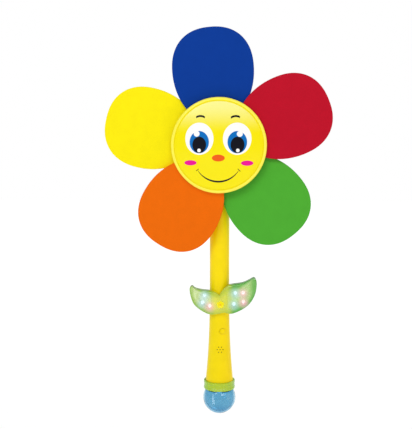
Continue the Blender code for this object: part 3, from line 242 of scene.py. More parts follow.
# %% [markdown]
# A finish is one material. Its `node` method adds any node from its type, its settings and its inputs, so
# every other helper is a line or two. Values that stay the same all over go straight on the shader.

# %% A material that is built from sums


class Finish:
    """One material, with its nodes made by formulas."""

    def __init__(self, name, constants):
        self.material = bpy.data.materials.new(name)
        self.material.use_nodes = True
        self.tree = self.material.node_tree
        self.shader = self.tree.nodes["Principled BSDF"]
        for socket, value in constants.items():
            self.shader.inputs[socket].default_value = value

    def node(self, kind, settings, inputs, output=0):
        made = self.tree.nodes.new(kind)
        for name, value in settings.items():
            setattr(made, name, value)
        for key, value in inputs.items():
            if isinstance(value, Value):
                self.tree.links.new(value.socket, made.inputs[key])
            else:
                made.inputs[key].default_value = value
        return Value(self, made.outputs[output])

    def feed(self, socket, value):
        self.tree.links.new(value.socket, self.shader.inputs[socket])

    def place(self):
        """Where a point is on its piece, in millimetres."""
        at = self.node("ShaderNodeTexCoord", {}, {}, "Object")
        return self.node("ShaderNodeVectorMath", {"operation": "SCALE"}, {0: at, "Scale": 1000.0})

    def parts(self, vector):
        return [self.node("ShaderNodeSeparateXYZ", {}, {0: vector}, axis) for axis in "XYZ"]

    def stretched(self, vector, scale):
        return self.node("ShaderNodeVectorMath", {"operation": "MULTIPLY"}, {0: vector, 1: scale})

    def noise(self, where, scale, detail=2.0):
        inputs = {"Vector": where, "Scale": scale, "Detail": detail, "Roughness": 0.55}
        return self.node("ShaderNodeTexNoise", {}, inputs)

    def cells(self, where, scale):
        return self.node("ShaderNodeTexVoronoi", {}, {"Vector": where, "Scale": scale})

    def step(self, value, low, high):
        """0 up to low and 1 from high, smoothly."""
        inputs = {"Value": value, "From Min": low, "From Max": high}
        return self.node("ShaderNodeMapRange", {"interpolation_type": "SMOOTHSTEP"}, inputs)

    def range(self, value, low, high):
        """A value from 0 to 1 turned into one from low to high."""
        return self.node("ShaderNodeMapRange", {}, {"Value": value, "To Min": low, "To Max": high})

    def mix(self, factor, first, second):
        inputs = {0: factor, 6: first, 7: second}
        return self.node("ShaderNodeMix", {"data_type": "RGBA"}, inputs, 2)

    def painted(self, name):
        """A value that the mesh carries at each of its points."""
        return self.node("ShaderNodeAttribute", {"attribute_name": name}, {}, "Fac")

    def edge_on(self, blend):
        return self.node("ShaderNodeLayerWeight", {}, {"Blend": blend}, "Facing")

    def bump(self, height, distance, strength=1.0):
        inputs = {"Height": height, "Strength": strength, "Distance": distance * MM}
        self.feed("Normal", self.node("ShaderNodeBump", {}, inputs))


def colour(red, green, blue):
    """A colour as a screen shows it, 0 to 255, turned into the linear one that shaders use."""
    linear = []
    for part in (red, green, blue):
        share = part / 255
        linear.append(share / 12.92 if share <= 0.04045 else ((share + 0.055) / 1.055) ** 2.4)
    return (*linear, 1.0)


def scaled(tint, share):
    return (tint[0] * share, tint[1] * share, tint[2] * share, 1.0)


print("mid grey is", round(colour(128, 128, 128)[0], 3), "in linear light")

# %% [markdown]
# ## Mesh tools
# Every piece below starts as points and faces. One function makes the object, rounds its shading except
# at real edges, hangs it on the body that it moves with, and hides the plain part that it stands for.

# %% From points and faces to a finished piece
scene_objects = bpy.context.scene.collection.objects


def smooth_shading(mesh, degrees=35.0):
    mesh.shade_smooth()
    mesh.set_sharp_from_angle(angle=math.radians(degrees))


def raw_piece(name, points, faces, origin=(0.0, 0.0, 0.0)):
    """A mesh object from points in millimetres, with its own origin."""
    start = Vector(origin)
    mesh = bpy.data.meshes.new(name)
    mesh.from_pydata([(Vector(point) - start) * MM for point in points], [], faces)
    shape = bmesh.new()
    shape.from_mesh(mesh)
    bmesh.ops.remove_doubles(shape, verts=shape.verts, dist=0.0005 * MM)
    bmesh.ops.recalc_face_normals(shape, faces=shape.faces)
    shape.to_mesh(mesh)
    shape.free()
    smooth_shading(mesh)
    obj = bpy.data.objects.new(name, mesh)
    obj.location = start * MM
    scene_objects.link(obj)
    return obj


def finished(obj, finish, body, nodes=()):
    """Gives a piece its finish, its body and the parts that it stands for."""
    obj.data.materials.clear()
    obj.data.materials.append(finish.material)
    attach(obj, body)
    if nodes:
        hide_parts(*nodes)
    print(obj.name, len(obj.data.polygons), "faces")
    return obj


# %% [markdown]
# Most of this toy is turned: the stick, the ball, the face. A profile of (radius, height) points swept
# round an axis makes all of them. Real moulded edges are never sharp, so `rounded` replaces the corners
# of a profile by small arcs before it is turned.

# %% Turned pieces with rounded corners


def rounded(profile, radius, steps=4):
    """The profile with each inner corner replaced by an arc, as large as its two sides allow."""
    run = [profile[0]]
    for before, corner, after in zip(profile, profile[1:], profile[2:]):
        corner_at = Vector(corner)
        back = Vector(before) - corner_at
        ahead = Vector(after) - corner_at
        reach = min(radius, back.length * 0.45, ahead.length * 0.45)
        if reach < 0.01 or back.normalized().dot(ahead.normalized()) < -0.97:
            run.append(corner)
            continue
        first = corner_at + back.normalized() * reach
        last = corner_at + ahead.normalized() * reach
        for step in range(steps + 1):
            t = step / steps
            point = first * (1 - t) ** 2 + corner_at * 2 * t * (1 - t) + last * t**2
            run.append(tuple(point))
    run.append(profile[-1])
    return run


def turned(name, profile, axis="Z", centre=(0.0, 0.0), steps=96, origin=None):
    """A profile of (radius, height) turned about an axis along Z or Y. The centre is in the other two."""
    points = []
    rings = []
    for radius, height in profile:
        count = steps if radius > 1e-6 else 1
        rings.append(range(len(points), len(points) + count))
        for step in range(count):
            angle = 2 * math.pi * step / steps
            a = centre[0] + radius * math.cos(angle)
            b = centre[1] + radius * math.sin(angle)
            points.append((a, b, height) if axis == "Z" else (a, height, b))
    faces = []
    pairs = list(zip(rings, rings[1:]))
    if profile[0][0] > 1e-6:
        pairs.append((rings[-1], rings[0]))
    for low, high in pairs:
        for step in range(steps):
            after = (step + 1) % steps
            corners = [low[step % len(low)], low[after % len(low)]]
            corners += [high[after % len(high)], high[step % len(high)]]
            unique = list(dict.fromkeys(corners))
            if len(unique) > 2:
                faces.append(unique)
    middle_of_profile = sum(height for _, height in profile) / len(profile)
    if origin is None:
        across = (centre[0], centre[1])
        origin = (*across, middle_of_profile) if axis == "Z" else (across[0], middle_of_profile, across[1])
    return raw_piece(name, points, faces, origin)


def smooth_run(points, steps):
    """A smooth curve through the points, without the last one."""
    run = []
    count = len(points)
    for i in range(count - 1):
        before = Vector(points[max(i - 1, 0)])
        start = Vector(points[i])
        end = Vector(points[i + 1])
        after = Vector(points[min(i + 2, count - 1)])
        leaving = (end - before) / 2
        arriving = (after - start) / 2
        for step in range(steps):
            t = step / steps
            point = start * (2 * t**3 - 3 * t**2 + 1) + leaving * (t**3 - 2 * t**2 + t)
            point += end * (3 * t**2 - 2 * t**3) + arriving * (t**3 - t**2)
            run.append(tuple(point))
    return run


def arc_profile(radius, start, end, steps, height=0.0):
    """Points on a circle whose middle is on the axis, from one angle to another in degrees."""
    run = []
    for step in range(steps + 1):
        angle = math.radians(start + (end - start) * step / steps)
        run.append((radius * math.cos(angle), height + radius * math.sin(angle)))
    return run


# %% [markdown]
# Holes and bosses are easiest as Booleans: a plain rod is cut out of the wall or joined to it. The result
# is baked into the mesh at once, so that no helper stays in the scene, and the shading is rounded again.

# %% Carving and joining


def carve(obj, tools, operation="DIFFERENCE"):
    """Cuts helpers out of a piece, joins them to it or keeps what they share, and removes the helpers."""
    for tool in tools:
        modifier = obj.modifiers.new(tool.name, "BOOLEAN")
        modifier.operation = operation
        modifier.solver = "EXACT"
        modifier.object = tool
    bpy.context.view_layer.update()
    ready = obj.evaluated_get(bpy.context.evaluated_depsgraph_get())
    mesh = bpy.data.meshes.new_from_object(ready)
    obj.modifiers.clear()
    old = obj.data
    obj.data = mesh
    bpy.data.meshes.remove(old)
    for tool in tools:
        bpy.data.objects.remove(tool)
    smooth_shading(obj.data)
    return obj


def even_shading(obj):
    """Lets large faces decide the shading, which hides the seams that carving leaves."""
    modifier = obj.modifiers.new("even_shading", "WEIGHTED_NORMAL")
    modifier.keep_sharp = True
    return obj


def round_end(radius, start, rise, steps):
    """A quarter round from a radius at a height to the axis, as (radius, height) points."""
    angles = [math.pi / 2 * step / steps for step in range(1, steps + 1)]
    return [(radius * math.cos(angle), start + rise * math.sin(angle)) for angle in angles]


def rod(radius, low, high, place, steps=32):
    """A helper rod along Y."""
    profile = ((0.0, low), (radius, low), (radius, high), (0.0, high))
    return turned("rod", profile, "Y", place, steps)


def block(x, y, z):
    """A helper box."""
    corners = [(a, b, c) for c in z for b in y for a in x]
    faces = ((0, 2, 3, 1), (4, 5, 7, 6), (0, 1, 5, 4), (2, 6, 7, 3), (0, 4, 6, 2), (1, 3, 7, 5))
    return raw_piece("block", corners, faces)


print("mesh tools ready")

# %% [markdown]
# ## Foam petals
# The five petals are die-cut from 2 mm craft foam: dead flat, softly matt, with the faint speckle of its
# closed cells and an edge that the die pressed slightly round. A sheet could be extruded and bevelled.
# Rings drawn towards one point inside the outline give the same edge, and leave points inside to bow it.

# %% Foam finish


def foam(name, tint):
    finish = Finish(name, {"Sheen Weight": 0.01, "Sheen Roughness": 0.5, "Specular IOR Level": 0.06})
    at = finish.place()
    cloud = finish.noise(at, 0.09, 3.0)
    speckle = finish.noise(at, 1.6, 2.0)
    shade = finish.step(cloud * 0.4 + speckle * 0.6, 0.3, 0.7)
    finish.feed("Base Color", finish.mix(shade, scaled(tint, 0.95), scaled(tint, 1.03)))
    finish.feed("Roughness", finish.range(speckle, 0.62, 0.82))
    cells = finish.cells(at, 2.6)
    finish.bump(cells * 0.6 + speckle * 0.4, 0.05, 0.5)
    return finish


petal_tints = {
    "blue": colour(8, 58, 150),
    "red": colour(188, 17, 41),
    "green": colour(78, 173, 52),
    "orange": colour(238, 108, 6),
    "yellow": colour(252, 236, 14),
}
foams = {name: foam("foam_" + name, tint) for name, tint in petal_tints.items()}
print("foams:", sorted(foams))

# %% [markdown]
# A petal is widest at three fifths of its length. Beyond that it closes in a full round tip, and towards
# the hub it tapers along part of an ellipse into the tab that the hub clamps. The pin hole is in the tab.

# %% Petal shape
petal_turn = 4.7
petal_angles = {"blue": 90.0, "red": 18.0, "green": -54.0, "orange": -126.0, "yellow": 162.0}
petal_tip = 118.0
petal_widest = 76.0
petal_half_width = 40.9
petal_root_reach = 54.0
tab_half = 8.0
tab_start = 14.0
tip_power = 2.3
pin_reach = 19.5


def petal_outline(steps):
    """Half of the petal's edge from its tab to its tip, then mirrored, as (reach, side) points."""
    tab_share = math.sqrt(1 - (tab_half / petal_half_width) ** 2)
    half = [(tab_start, 0.0), (tab_start, tab_half * 0.9), (tab_start + 0.8, tab_half)]
    for step in range(steps + 1):
        angle = math.pi / 2 * step / steps
        reach = petal_widest - petal_root_reach * tab_share * math.cos(angle)
        share = (petal_widest - reach) / petal_root_reach
        half.append((reach, petal_half_width * math.sqrt(1 - share**2)))
    for step in range(1, steps):
        angle = math.pi / 2 * step / steps
        share = math.sin(angle) ** 0.9
        side = petal_half_width * (1 - share**tip_power) ** (1 / tip_power)
        half.append((petal_widest + (petal_tip - petal_widest) * share, side))
    mirrored = [(reach, -side) for reach, side in reversed(half[1:])]
    return half + [(petal_tip, 0.0)] + mirrored


def pin_place(name):
    """Where the pin that holds a petal stands, as (x, z)."""
    angle = math.radians(petal_angles[name] + petal_turn)
    return (pin_reach * math.cos(angle), face_z + pin_reach * math.sin(angle))


print("petal outline:", len(petal_outline(26)), "points")

# %% [markdown]
# Each face of the sheet is a set of rings, drawn in from the outline towards the petal's heart. The first
# few rings drop along a small arc, which is the pressed edge. Towards its tip the sheet bows back a little.

# %% Petals


def petal_level(inset, half_thickness):
    """How far a face of the sheet is from its middle, at a place this far in from the pressed edge."""
    edge = 0.7
    if inset >= edge:
        return half_thickness
    return half_thickness - edge + math.sqrt(max(edge**2 - (edge - inset) ** 2, 0.0))


def make_petal(name):
    """One petal: a front and a back face made of rings, the cut edge between them, and the pin's hole."""
    node = "petal_" + name
    front, back = extent(node, 1)
    level = (front + back) / 2
    half_thickness = (back - front) / 2
    heart = Vector((68.0, 0.0))
    outline = [Vector(point) for point in petal_outline(26)]
    insets = (0.0, 0.06, 0.2, 0.42, 0.7, 1.6, 6.0, 14.0, 24.0)
    angle = math.radians(petal_angles[name] + petal_turn)
    count = len(outline)
    points = []
    for side in (1, -1):
        for inset in insets:
            for point in outline:
                reach = (point - heart).length
                at = point.lerp(heart, min(inset / reach, 0.9))
                bow = 0.9 * max((at.x - 55.0) / 63.0, 0.0) ** 2
                depth = level + side * petal_level(inset, half_thickness) + bow
                across = at.x * math.cos(angle) - at.y * math.sin(angle)
                up = at.x * math.sin(angle) + at.y * math.cos(angle)
                points.append((across, depth, face_z + up))
    faces = []
    for side in range(2):
        base = side * len(insets) * count
        for ring in range(len(insets) - 1):
            for step in range(count):
                after = (step + 1) % count
                low = base + ring * count
                faces.append((low + step, low + after, low + count + after, low + count + step))
        faces.append(tuple(range(base + (len(insets) - 1) * count, base + len(insets) * count)))
    other = len(insets) * count
    for step in range(count):
        after = (step + 1) % count
        faces.append((step, other + step, other + after, after))
    petal = raw_piece("foam_petal_" + name, points, faces, (0.0, level, face_z))
    carve(petal, [rod(1.7, level - 4.0, level + 4.0, pin_place(name))])
    return finished(petal, foams[name], "flower", [node])


for name in petal_angles:
    make_petal(name)

# %% [markdown]
# ## The smiling face
# The middle of the flower is a glossy domed disc, moulded in yellow with a rolled rim and a fine groove
# just inside it. Its features are pad-printed, so they are paint and not shapes. They could be thin
# shells laid on the dome. Formulas in the disc's own finish stay crisp and never flicker or peel.

# %% Printed shapes as formulas
ink_edge = 0.12


class Print:
    """Shapes in ink on a finish, drawn at places in millimetres from the middle of the face."""

    def __init__(self, finish, x, z):
        self.finish = finish
        self.x = x
        self.z = z

    def oval(self, across, up, half_width, half_height):
        """An oval about a place, whose distance formula is 1 on its edge."""
        away = ((self.x - across) / half_width) ** 2 + ((self.z - up) / half_height) ** 2
        soft = ink_edge / min(half_width, half_height)
        return 1 - self.finish.step(away.root(), 1 - soft, 1 + soft)

    def stroke(self, start, end, half_width):
        """A straight stroke with round ends."""
        run = Vector(end) - Vector(start)
        from_x = self.x - start[0]
        from_z = self.z - start[1]
        along = from_x * (run.x / run.length_squared) + from_z * (run.y / run.length_squared)
        along = along.larger(0.0).smaller(1.0)
        aside = (from_x - along * run.x) ** 2 + (from_z - along * run.y) ** 2
        return 1 - self.finish.step(aside.root(), half_width - ink_edge, half_width + ink_edge)

    def arc(self, left, through, right, half_width, thinnest, taper):
        """Part of a circle through three points, which gets thinner towards its ends."""
        centre, radius = circle_through(left, through, right)
        side = 1.0 if through[1] > centre[1] else -1.0
        from_x = self.x - centre[0]
        from_z = self.z - centre[1]
        away = (from_x**2 + from_z**2).root()
        reach = (right[0] - left[0]) / 2
        aside = abs(self.x - (left[0] + right[0]) / 2)
        half = (1 - (aside / reach).smaller(1.0) ** taper) * (half_width - thinnest) + thinnest
        inked = 1 - self.finish.step(abs(away - radius) - half, -ink_edge, ink_edge)
        inside = 1 - self.finish.step(aside, reach - 0.1, reach + 0.1)
        return inked * inside * self.finish.step(from_z * side, -0.1, 0.1)


def circle_through(first, second, third):
    """The centre and radius of the circle through three points."""
    ax, ay = first
    bx, by = second
    cx, cy = third
    turn = 2 * (ax * (by - cy) + bx * (cy - ay) + cx * (ay - by))
    first_square = ax**2 + ay**2
    second_square = bx**2 + by**2
    third_square = cx**2 + cy**2
    x = (first_square * (by - cy) + second_square * (cy - ay) + third_square * (ay - by)) / turn
    y = (first_square * (cx - bx) + second_square * (ax - cx) + third_square * (bx - ax)) / turn
    return (x, y), math.hypot(ax - x, ay - y)


smile = ((-20.4, -25.9), (0.2, -37.0), (20.2, -26.0))
left_brow = ((-22.1, 26.9), (-17.8, 28.1), (-13.3, 26.7))
right_brow = ((12.4, 26.4), (16.8, 28.0), (21.4, 27.0))
print("smile's circle has a radius of", round(circle_through(*smile)[1], 1), "mm")

# %% [markdown]
# The inks go down in the order a printer uses: eye whites, irises, the glint that bites into each iris,
# pupils, a lower glint, then brows, nose, cheeks and the mouth. Each ink is a colour mixed over the last.
# Under them the yellow gets paler towards the brow: a printed gradient that is in part a painted highlight
# from above. The rolled rim is painted paler, partly as a painted highlight, and the groove gets a line of
# painted shade. The print sits a little off the disc's centre, up to a millimetre, which is how far such a
# printing pad wanders.

# %% Inks
yellow = colour(249, 234, 2)
pale_yellow = colour(252, 249, 150)
black_ink = colour(6, 6, 22)
white_ink = colour(252, 252, 252)
iris_ink = colour(0, 110, 192)
orange_ink = colour(240, 92, 10)
brown_ink = colour(70, 54, 10)
magenta_ink = colour(236, 0, 150)
print_offset_x, print_offset_z = -0.3, 0.9
print("the print sits", print_offset_x, print_offset_z, "mm off the centre")

# %% Face finish


def printed_face():
    finish = Finish("printed_face", {"Coat Roughness": 0.04, "Specular IOR Level": 0.12})
    at = finish.place()
    x, _, z = finish.parts(at)
    draw = Print(finish, x - print_offset_x, z - print_offset_z)
    away = (x**2 + z**2).root()
    grain = finish.noise(at, 0.35, 3.0)
    # Painted highlight: the yellow gets paler towards the top, a printed gradient that also stands in for a
    # highlight from above.
    top_print_and_highlight = finish.step(z + grain * 3.0, 13.0, 44.0) * (1 - finish.step(away, 43.2, 44.4))
    ground = finish.mix(top_print_and_highlight, yellow, pale_yellow)
    ground = finish.mix(grain * 0.12, ground, scaled(yellow, 0.86))
    # The rolled rim is painted paler: partly its own pale tone, partly a painted highlight that offsets the
    # shade on its roll.
    lip = finish.step(away, 44.9, 45.6)
    ground = finish.mix(lip, ground, colour(255, 244, 84))
    # Painted shade: a darker line along the groove just inside the rim.
    line = finish.step(away, 44.0, 44.3) * (1 - finish.step(away, 44.7, 45.0))
    ground = finish.mix(line * 0.3, ground, colour(226, 202, 0))
    inks = (
        (draw.oval(-18.8, 5.7, 14.1, 15.9), white_ink),
        (draw.oval(18.8, 5.7, 14.1, 15.9), white_ink),
        (draw.oval(-18.9, 2.3, 9.7, 11.0), iris_ink),
        (draw.oval(18.9, 2.3, 9.7, 11.0), iris_ink),
        (draw.oval(-21.5, 10.6, 2.9, 2.9), white_ink),
        (draw.oval(21.3, 10.4, 2.9, 2.9), white_ink),
        (draw.oval(-18.9, -0.4, 6.9, 8.1), black_ink),
        (draw.oval(19.1, -0.4, 6.9, 8.1), black_ink),
        (draw.oval(-19.1, -5.9, 1.8, 1.8), white_ink),
        (draw.oval(19.4, -5.9, 1.8, 1.8), white_ink),
        (draw.arc(*left_brow, 1.0, 0.75, 8.0), black_ink),
        (draw.arc(*right_brow, 1.0, 0.75, 8.0), black_ink),
        (draw.oval(0.1, -13.4, 6.4, 3.4), orange_ink),
        (draw.oval(-27.8, -18.2, 6.2, 2.6), magenta_ink),
        (draw.oval(28.7, -18.5, 6.2, 2.6), magenta_ink),
        (draw.arc(*smile, 0.9, 0.2, 2.0), black_ink),
        (draw.stroke((-22.0, -26.2), (-19.8, -24.4), 0.36), brown_ink),
        (draw.stroke((19.6, -24.3), (21.8, -26.5), 0.36), brown_ink),
    )
    inked = None
    for shape, ink in inks:
        ground = finish.mix(shape, ground, ink)
        inked = shape if inked is None else inked.larger(shape)
    finish.feed("Base Color", ground)
    finish.feed("Roughness", finish.range(inked, 0.2, 0.34) + grain * 0.06)
    finish.feed("Coat Weight", finish.range(grain, 0.1, 0.2))
    finish.bump(inked * 0.6 + grain * 0.5, 0.03, 0.35)
    return finish


face_finish = printed_face()
print("face nodes:", len(face_finish.tree.nodes))

# %% [markdown]
# The disc is one turned profile: a shallow dome, the groove, a rolled rim, and behind it the collar that
# snaps over the clamp. The dome is part of a large ball, found from its rim and its height.

# %% Face disc


def make_face():
    front, back = extent("face_cover", 1)
    rim = 48.0
    wall = 1.8
    dome_edge = 44.1
    sag = 5.4
    ball = (dome_edge**2 + sag**2) / (2 * sag)

    def dome(radius, drop=0.0):
        return (radius, front + drop + ball - math.sqrt(ball**2 - radius**2))

    outer = [dome(dome_edge * step / 24) for step in range(25)]
    edge = outer[-1][1]
    groove = [(44.35, edge + 0.25), (44.75, edge + 0.25), (45.0, edge - 0.05)]
    roll = [(45.4, edge - 0.2), (46.3, edge - 0.15), (47.1, edge + 0.15), (47.7, edge + 0.7), (rim, edge + 1.6)]
    skirt = [(rim, back - 0.3), (rim - 0.3, back), (rim - wall, back)]
    collar_in = 30.3
    collar_out = 31.8
    under = [(rim - wall, edge + wall + 0.4), dome(collar_out, wall), (collar_out, back), (collar_in, back)]
    inner = [dome(collar_in * (1 - step / 12), wall) for step in range(13)]
    profile = outer + groove + roll + skirt + under + inner
    return turned("face_disc", profile, "Y", (0.0, face_z), 160, (0.0, front, face_z))


finished(make_face(), face_finish, "flower", ["face_cover"])

# %% [markdown]
# ## The yellow stick
# The handle, the stem and the motor housing are one hollow moulding, split down the middle. Toy plastic
# is glossy but never a mirror: its surface waves a little where it shrank, and it takes fine scratches.
# Its colour is a touch deeper where the wall is thick. Slow noise does the first, stretched noise the next.

# %% Moulded plastic finish


def plastic(name, tint, roughness=0.3, coat=0.06):
    """Glossy moulded plastic that waves slowly, with a colour that deepens by a few hundredths."""
    finish = Finish(name, {"Specular IOR Level": 0.12, "Coat Roughness": 0.1})
    at = finish.place()
    slow = finish.noise(at, 0.07, 2.0)
    fine = finish.noise(at, 2.2, 3.0)
    scuffs = finish.noise(finish.stretched(at, (3.0, 3.0, 0.25)), 0.9, 2.0)
    shade = finish.step(slow * 0.7 + fine * 0.3, 0.3, 0.7)
    finish.feed("Base Color", finish.mix(shade, scaled(tint, 0.93), tint))
    finish.feed("Roughness", finish.range(scuffs, roughness - 0.06, roughness + 0.1))
    finish.feed("Coat Weight", finish.range(slow, coat * 0.7, coat))
    finish.bump(slow * 0.9 + fine * 0.08 + scuffs * 0.05, 0.12, 0.35)
    return finish


yellow_plastic = plastic("yellow_plastic", colour(255, 228, 0))
white_plastic = plastic("white_plastic", colour(236, 236, 232))
black_plastic = plastic("black_plastic", colour(26, 26, 28), 0.4, 0.1)
print("plastics:", yellow_plastic.material.name, white_plastic.material.name)

# %% [markdown]
# The stick is straight down to the leaves, and below them it swells like a trumpet towards the ball. The
# swell grows slowly at first, which a power of the distance gives. The housing, or pod, is a drum on its
# side. The button stands a little round the side of the handle, and seven sound holes are under it.

# %% Stick sizes
stem_r = 10.15
wall = 1.65
handle_end = -41.6
shell_end = extent("handle_front_shell", 2)[0]
flare_top = 60.0
flare = 4.3
spigot_r = 14.0
pod_r = 23.0
pod_front = -10.5
pod_back = extent("handle_rear_shell", 1)[1]
parting = 0.15
control_turn = 20.0
button_z = 12.8
sound_x, sound_z = 1.2, -6.4


def stem_radius(z):
    """The stick's outer radius at a height."""
    drop = max(flare_top - z, 0.0) / (flare_top - handle_end)
    return stem_r + flare * drop**2.5


def flare_heights(steps=26):
    """Heights from the handle's end up to where it is straight, closer together near the end."""
    return [handle_end + (flare_top - handle_end) * (step / steps) ** 1.2 for step in range(steps + 1)]


print("handle is", round(2 * stem_radius(handle_end), 1), "mm wide at its end")

# %% [markdown]
# Both halves start as the same hollow casing: a turned stem joined to the turned drum, with the inside
# cut away. A half is what a block on its side of the parting plane leaves. Then come the bosses and holes
# at the places where the model has its screws.

# %% Casing


def casing(name):
    """The whole hollow stick with its drum, before it is halved."""
    outer = [(0.0, shell_end), (spigot_r, shell_end), (spigot_r, handle_end)]
    outer += [(stem_radius(z), z) for z in flare_heights()]
    outer += [(stem_r, face_z), (0.0, face_z)]
    stick = turned(name, outer, "Z", (0.0, 0.0), 96, (0.0, 0.0, 0.0))
    drum = rounded(((0.0, pod_front), (pod_r, pod_front), (pod_r, pod_back), (0.0, pod_back)), 1.7, 6)
    carve(stick, [turned("drum", drum, "Y", (0.0, face_z), 128)], "UNION")
    rib = 10.5
    inner = [(0.0, shell_end - 1), (rib, shell_end - 1), (rib, -45.2), (spigot_r - wall, -45.2)]
    inner += [(spigot_r - wall, handle_end)]
    inner += [(stem_radius(z) - wall, z) for z in flare_heights(12)]
    inner += [(stem_r - wall, face_z), (0.0, face_z)]
    room = rod(pod_r - wall, pod_front + wall, pod_back - wall, (0.0, face_z), 96)
    return carve(stick, [turned("inside", inner, "Z"), room])


print("drum:", round(2 * pod_r), "mm wide,", round(pod_back - pod_front, 1), "mm deep")

# %% Places of screws and controls


def screw_place(node):
    """Where a screw or pin along Y stands, as (x, z)."""
    at = middle(node)
    return (at.x, at.z)


case_screws = [screw_place(f"shell_screw_{number}") for number in (1, 2, 3, 4)]
plate_screws = [screw_place(f"plate_screw_{number}") for number in (1, 2)]
door_screw = screw_place("battery_door_screw")
idler_place = screw_place("idler_pin")
print("case screws at", [(round(x, 1), round(z, 1)) for x, z in case_screws])


def front_wall(z):
    """The inner side of the front wall, of the drum or of the stem, at a height."""
    return pod_front + wall if z > face_z - pod_r else wall - stem_radius(z)


def control_rod(radius, low, high, z, x=0.0):
    """A helper rod along the controls' own axis, which is turned about the stick."""
    tool = rod(radius, -high, -low, (x, z), 48)
    tool.data.transform(Matrix.Translation(tool.location))
    tool.location = (0.0, 0.0, 0.0)
    tool.rotation_euler.z = math.radians(control_turn)
    return tool


def sound_holes():
    """One hole in the middle and six round it."""
    run = [(sound_x, sound_z)]
    for step in range(6):
        angle = math.pi / 3 * step
        run.append((sound_x + 3.0 * math.cos(angle), sound_z + 3.0 * math.sin(angle)))
    return run


print("sound holes:", len(sound_holes()))

# %% Front half


def make_front():
    shell = casing("yellow_front_half")
    carve(shell, [block((-40, 40), (-parting, 60), (shell_end - 5, face_z + 40))])
    bosses = [rod(2.6, front_wall(z) - 0.5, -parting, (x, z)) for x, z in case_screws]
    bosses += [rod(2.6, front_wall(z) - 0.5, -0.3, (x, z)) for x, z in plate_screws]
    bosses.append(rod(2.3, pod_front + wall - 0.5, pod_front + wall + 1.5, idler_place))
    bosses.append(rod(3.0, front_wall(door_screw[1]) - 0.5, 4.3, door_screw))
    bosses.append(rod(2.6, -stem_r + 0.9, -stem_r + 4.55, (leaf_x, leaf_z)))
    for low in (99.5, handle_end + 0.1):
        bosses.append(block((-4.5, 4.5), (0.6 - stem_radius(low), -parting), (low, low + 1.2)))
    carve(shell, bosses, "UNION")
    holes = [rod(1.4, front_wall(z) + 0.7, 1.0, (x, z)) for x, z in case_screws + plate_screws]
    holes.append(rod(1.3, pod_front + wall + 0.1, 0.0, idler_place))
    holes.append(rod(3.2, pod_front - 1.0, 0.0, (0.0, face_z), 48))
    holes.append(rod(1.4, front_wall(door_screw[1]) + 2.5, 4.6, door_screw))
    holes.append(rod(1.4, -stem_r - 1.0, -stem_r + 5.15, (leaf_x, leaf_z)))
    holes.append(control_rod(3.3, 4.8, 14.5, button_z))
    holes += [rod(0.6, -13.0, -4.6, place, 20) for place in sound_holes()]
    carve(shell, holes)
    return even_shading(shell)


finished(make_front(), yellow_plastic, "handle", ["handle_front_shell"])

# %% Rear half


def make_rear():
    shell = casing("yellow_rear_half")
    carve(shell, [block((-40, 40), (-60, parting), (shell_end - 5, face_z + 40))])
    bosses = []
    for x, z in case_screws:
        inner = pod_back - wall if z > face_z - pod_r else stem_r - wall
        bosses.append(rod(3.2, parting, inner + 0.5, (x, z)))
    carve(shell, bosses, "UNION")
    holes = [rod(2.4, 6.0, pod_back + 1, place) for place in case_screws]
    holes += [rod(1.4, -1.0, 7.0, place) for place in case_screws]
    low, high = extent("battery_door", 2)
    holes.append(block((-7.3, 7.3), (parting + 1.0, 20.0), (low - 0.3, high + 0.3)))
    carve(shell, holes)
    return even_shading(shell)


finished(make_rear(), yellow_plastic, "handle", ["handle_rear_shell"])

# %% [markdown]
# The battery door is a strip of the same wall. Real doors have grip ribs for a thumb, so eight low bars
# are joined to it near its lower end. It lifts off on its own joint, so it rides on its own body.

# %% Battery door


def grip_rib(z, low, high):
    """A low bar across the door, cut from a ring round the stick."""
    foot, crest = stem_radius(z) - 0.6, stem_radius(z) + 0.35
    rib = turned("rib", ((foot, z - 0.45), (crest, z - 0.2), (crest, z + 0.2), (foot, z + 0.45)), "Z")
    return carve(rib, [block((-4.6, 4.6), (2.0, 30.0), (low, high))], "INTERSECT")


def make_door():
    low, high = extent("battery_door", 2)
    outer = [(0.0, low - 4), (stem_radius(low - 4), low - 4)]
    outer += [(stem_radius(z), z) for z in flare_heights() if z > low - 3.5]
    outer += [(stem_r, high + 4), (0.0, high + 4)]
    door = turned("yellow_battery_door", outer, "Z", (0.0, 0.0), 96, (0.0, 0.0, (low + high) / 2))
    inner = [(0.0, low - 6), (stem_radius(low - 6) - wall, low - 6)]
    inner += [(stem_radius(z) - wall, z) for z in flare_heights(12) if z > low - 3.5]
    inner += [(stem_r - wall, high + 6), (0.0, high + 6)]
    carve(door, [turned("inside", inner, "Z")])
    ribs = [grip_rib(low + 8.0 + 2.0 * number, low, high) for number in range(8)]
    carve(door, [block((-7.0, 7.0), (parting + 2.0, 30.0), (low, high))], "INTERSECT")
    carve(door, ribs, "UNION")
    carve(door, [rod(3.2, 4.6, stem_r - wall + 0.6, door_screw)], "UNION")
    carve(door, [rod(2.4, stem_r - wall - 0.6, 14.0, door_screw), rod(1.4, 3.6, 9.0, door_screw)])
    return even_shading(door)


finished(make_door(), yellow_plastic, "battery_cover", ["battery_door"])

# %% [markdown]
# The push button is a small dome on a plunger, in the same yellow. Turning gives the dome. Its axis leans
# round the stick, so the turned piece is rotated before it is hung on the button's body.

# %% Push button


def make_button():
    back = 7.6
    dome = 0.9
    top = stem_radius(button_z) + 1.1
    profile = [(0.0, back), (3.9, back), (3.9, back + 0.4), (3.0, back + 0.4), (3.0, top - dome)]
    profile += round_end(3.0, top - dome, dome, 8)
    outward = [(radius, -height) for radius, height in profile]
    button = turned("yellow_push_button", outward, "Y", (0.0, 0.0), 48, (0.0, 0.0, 0.0))
    button.location.z = button_z * MM
    button.rotation_euler.z = math.radians(control_turn)
    return button


finished(make_button(), yellow_plastic, "button", ["push_button"])
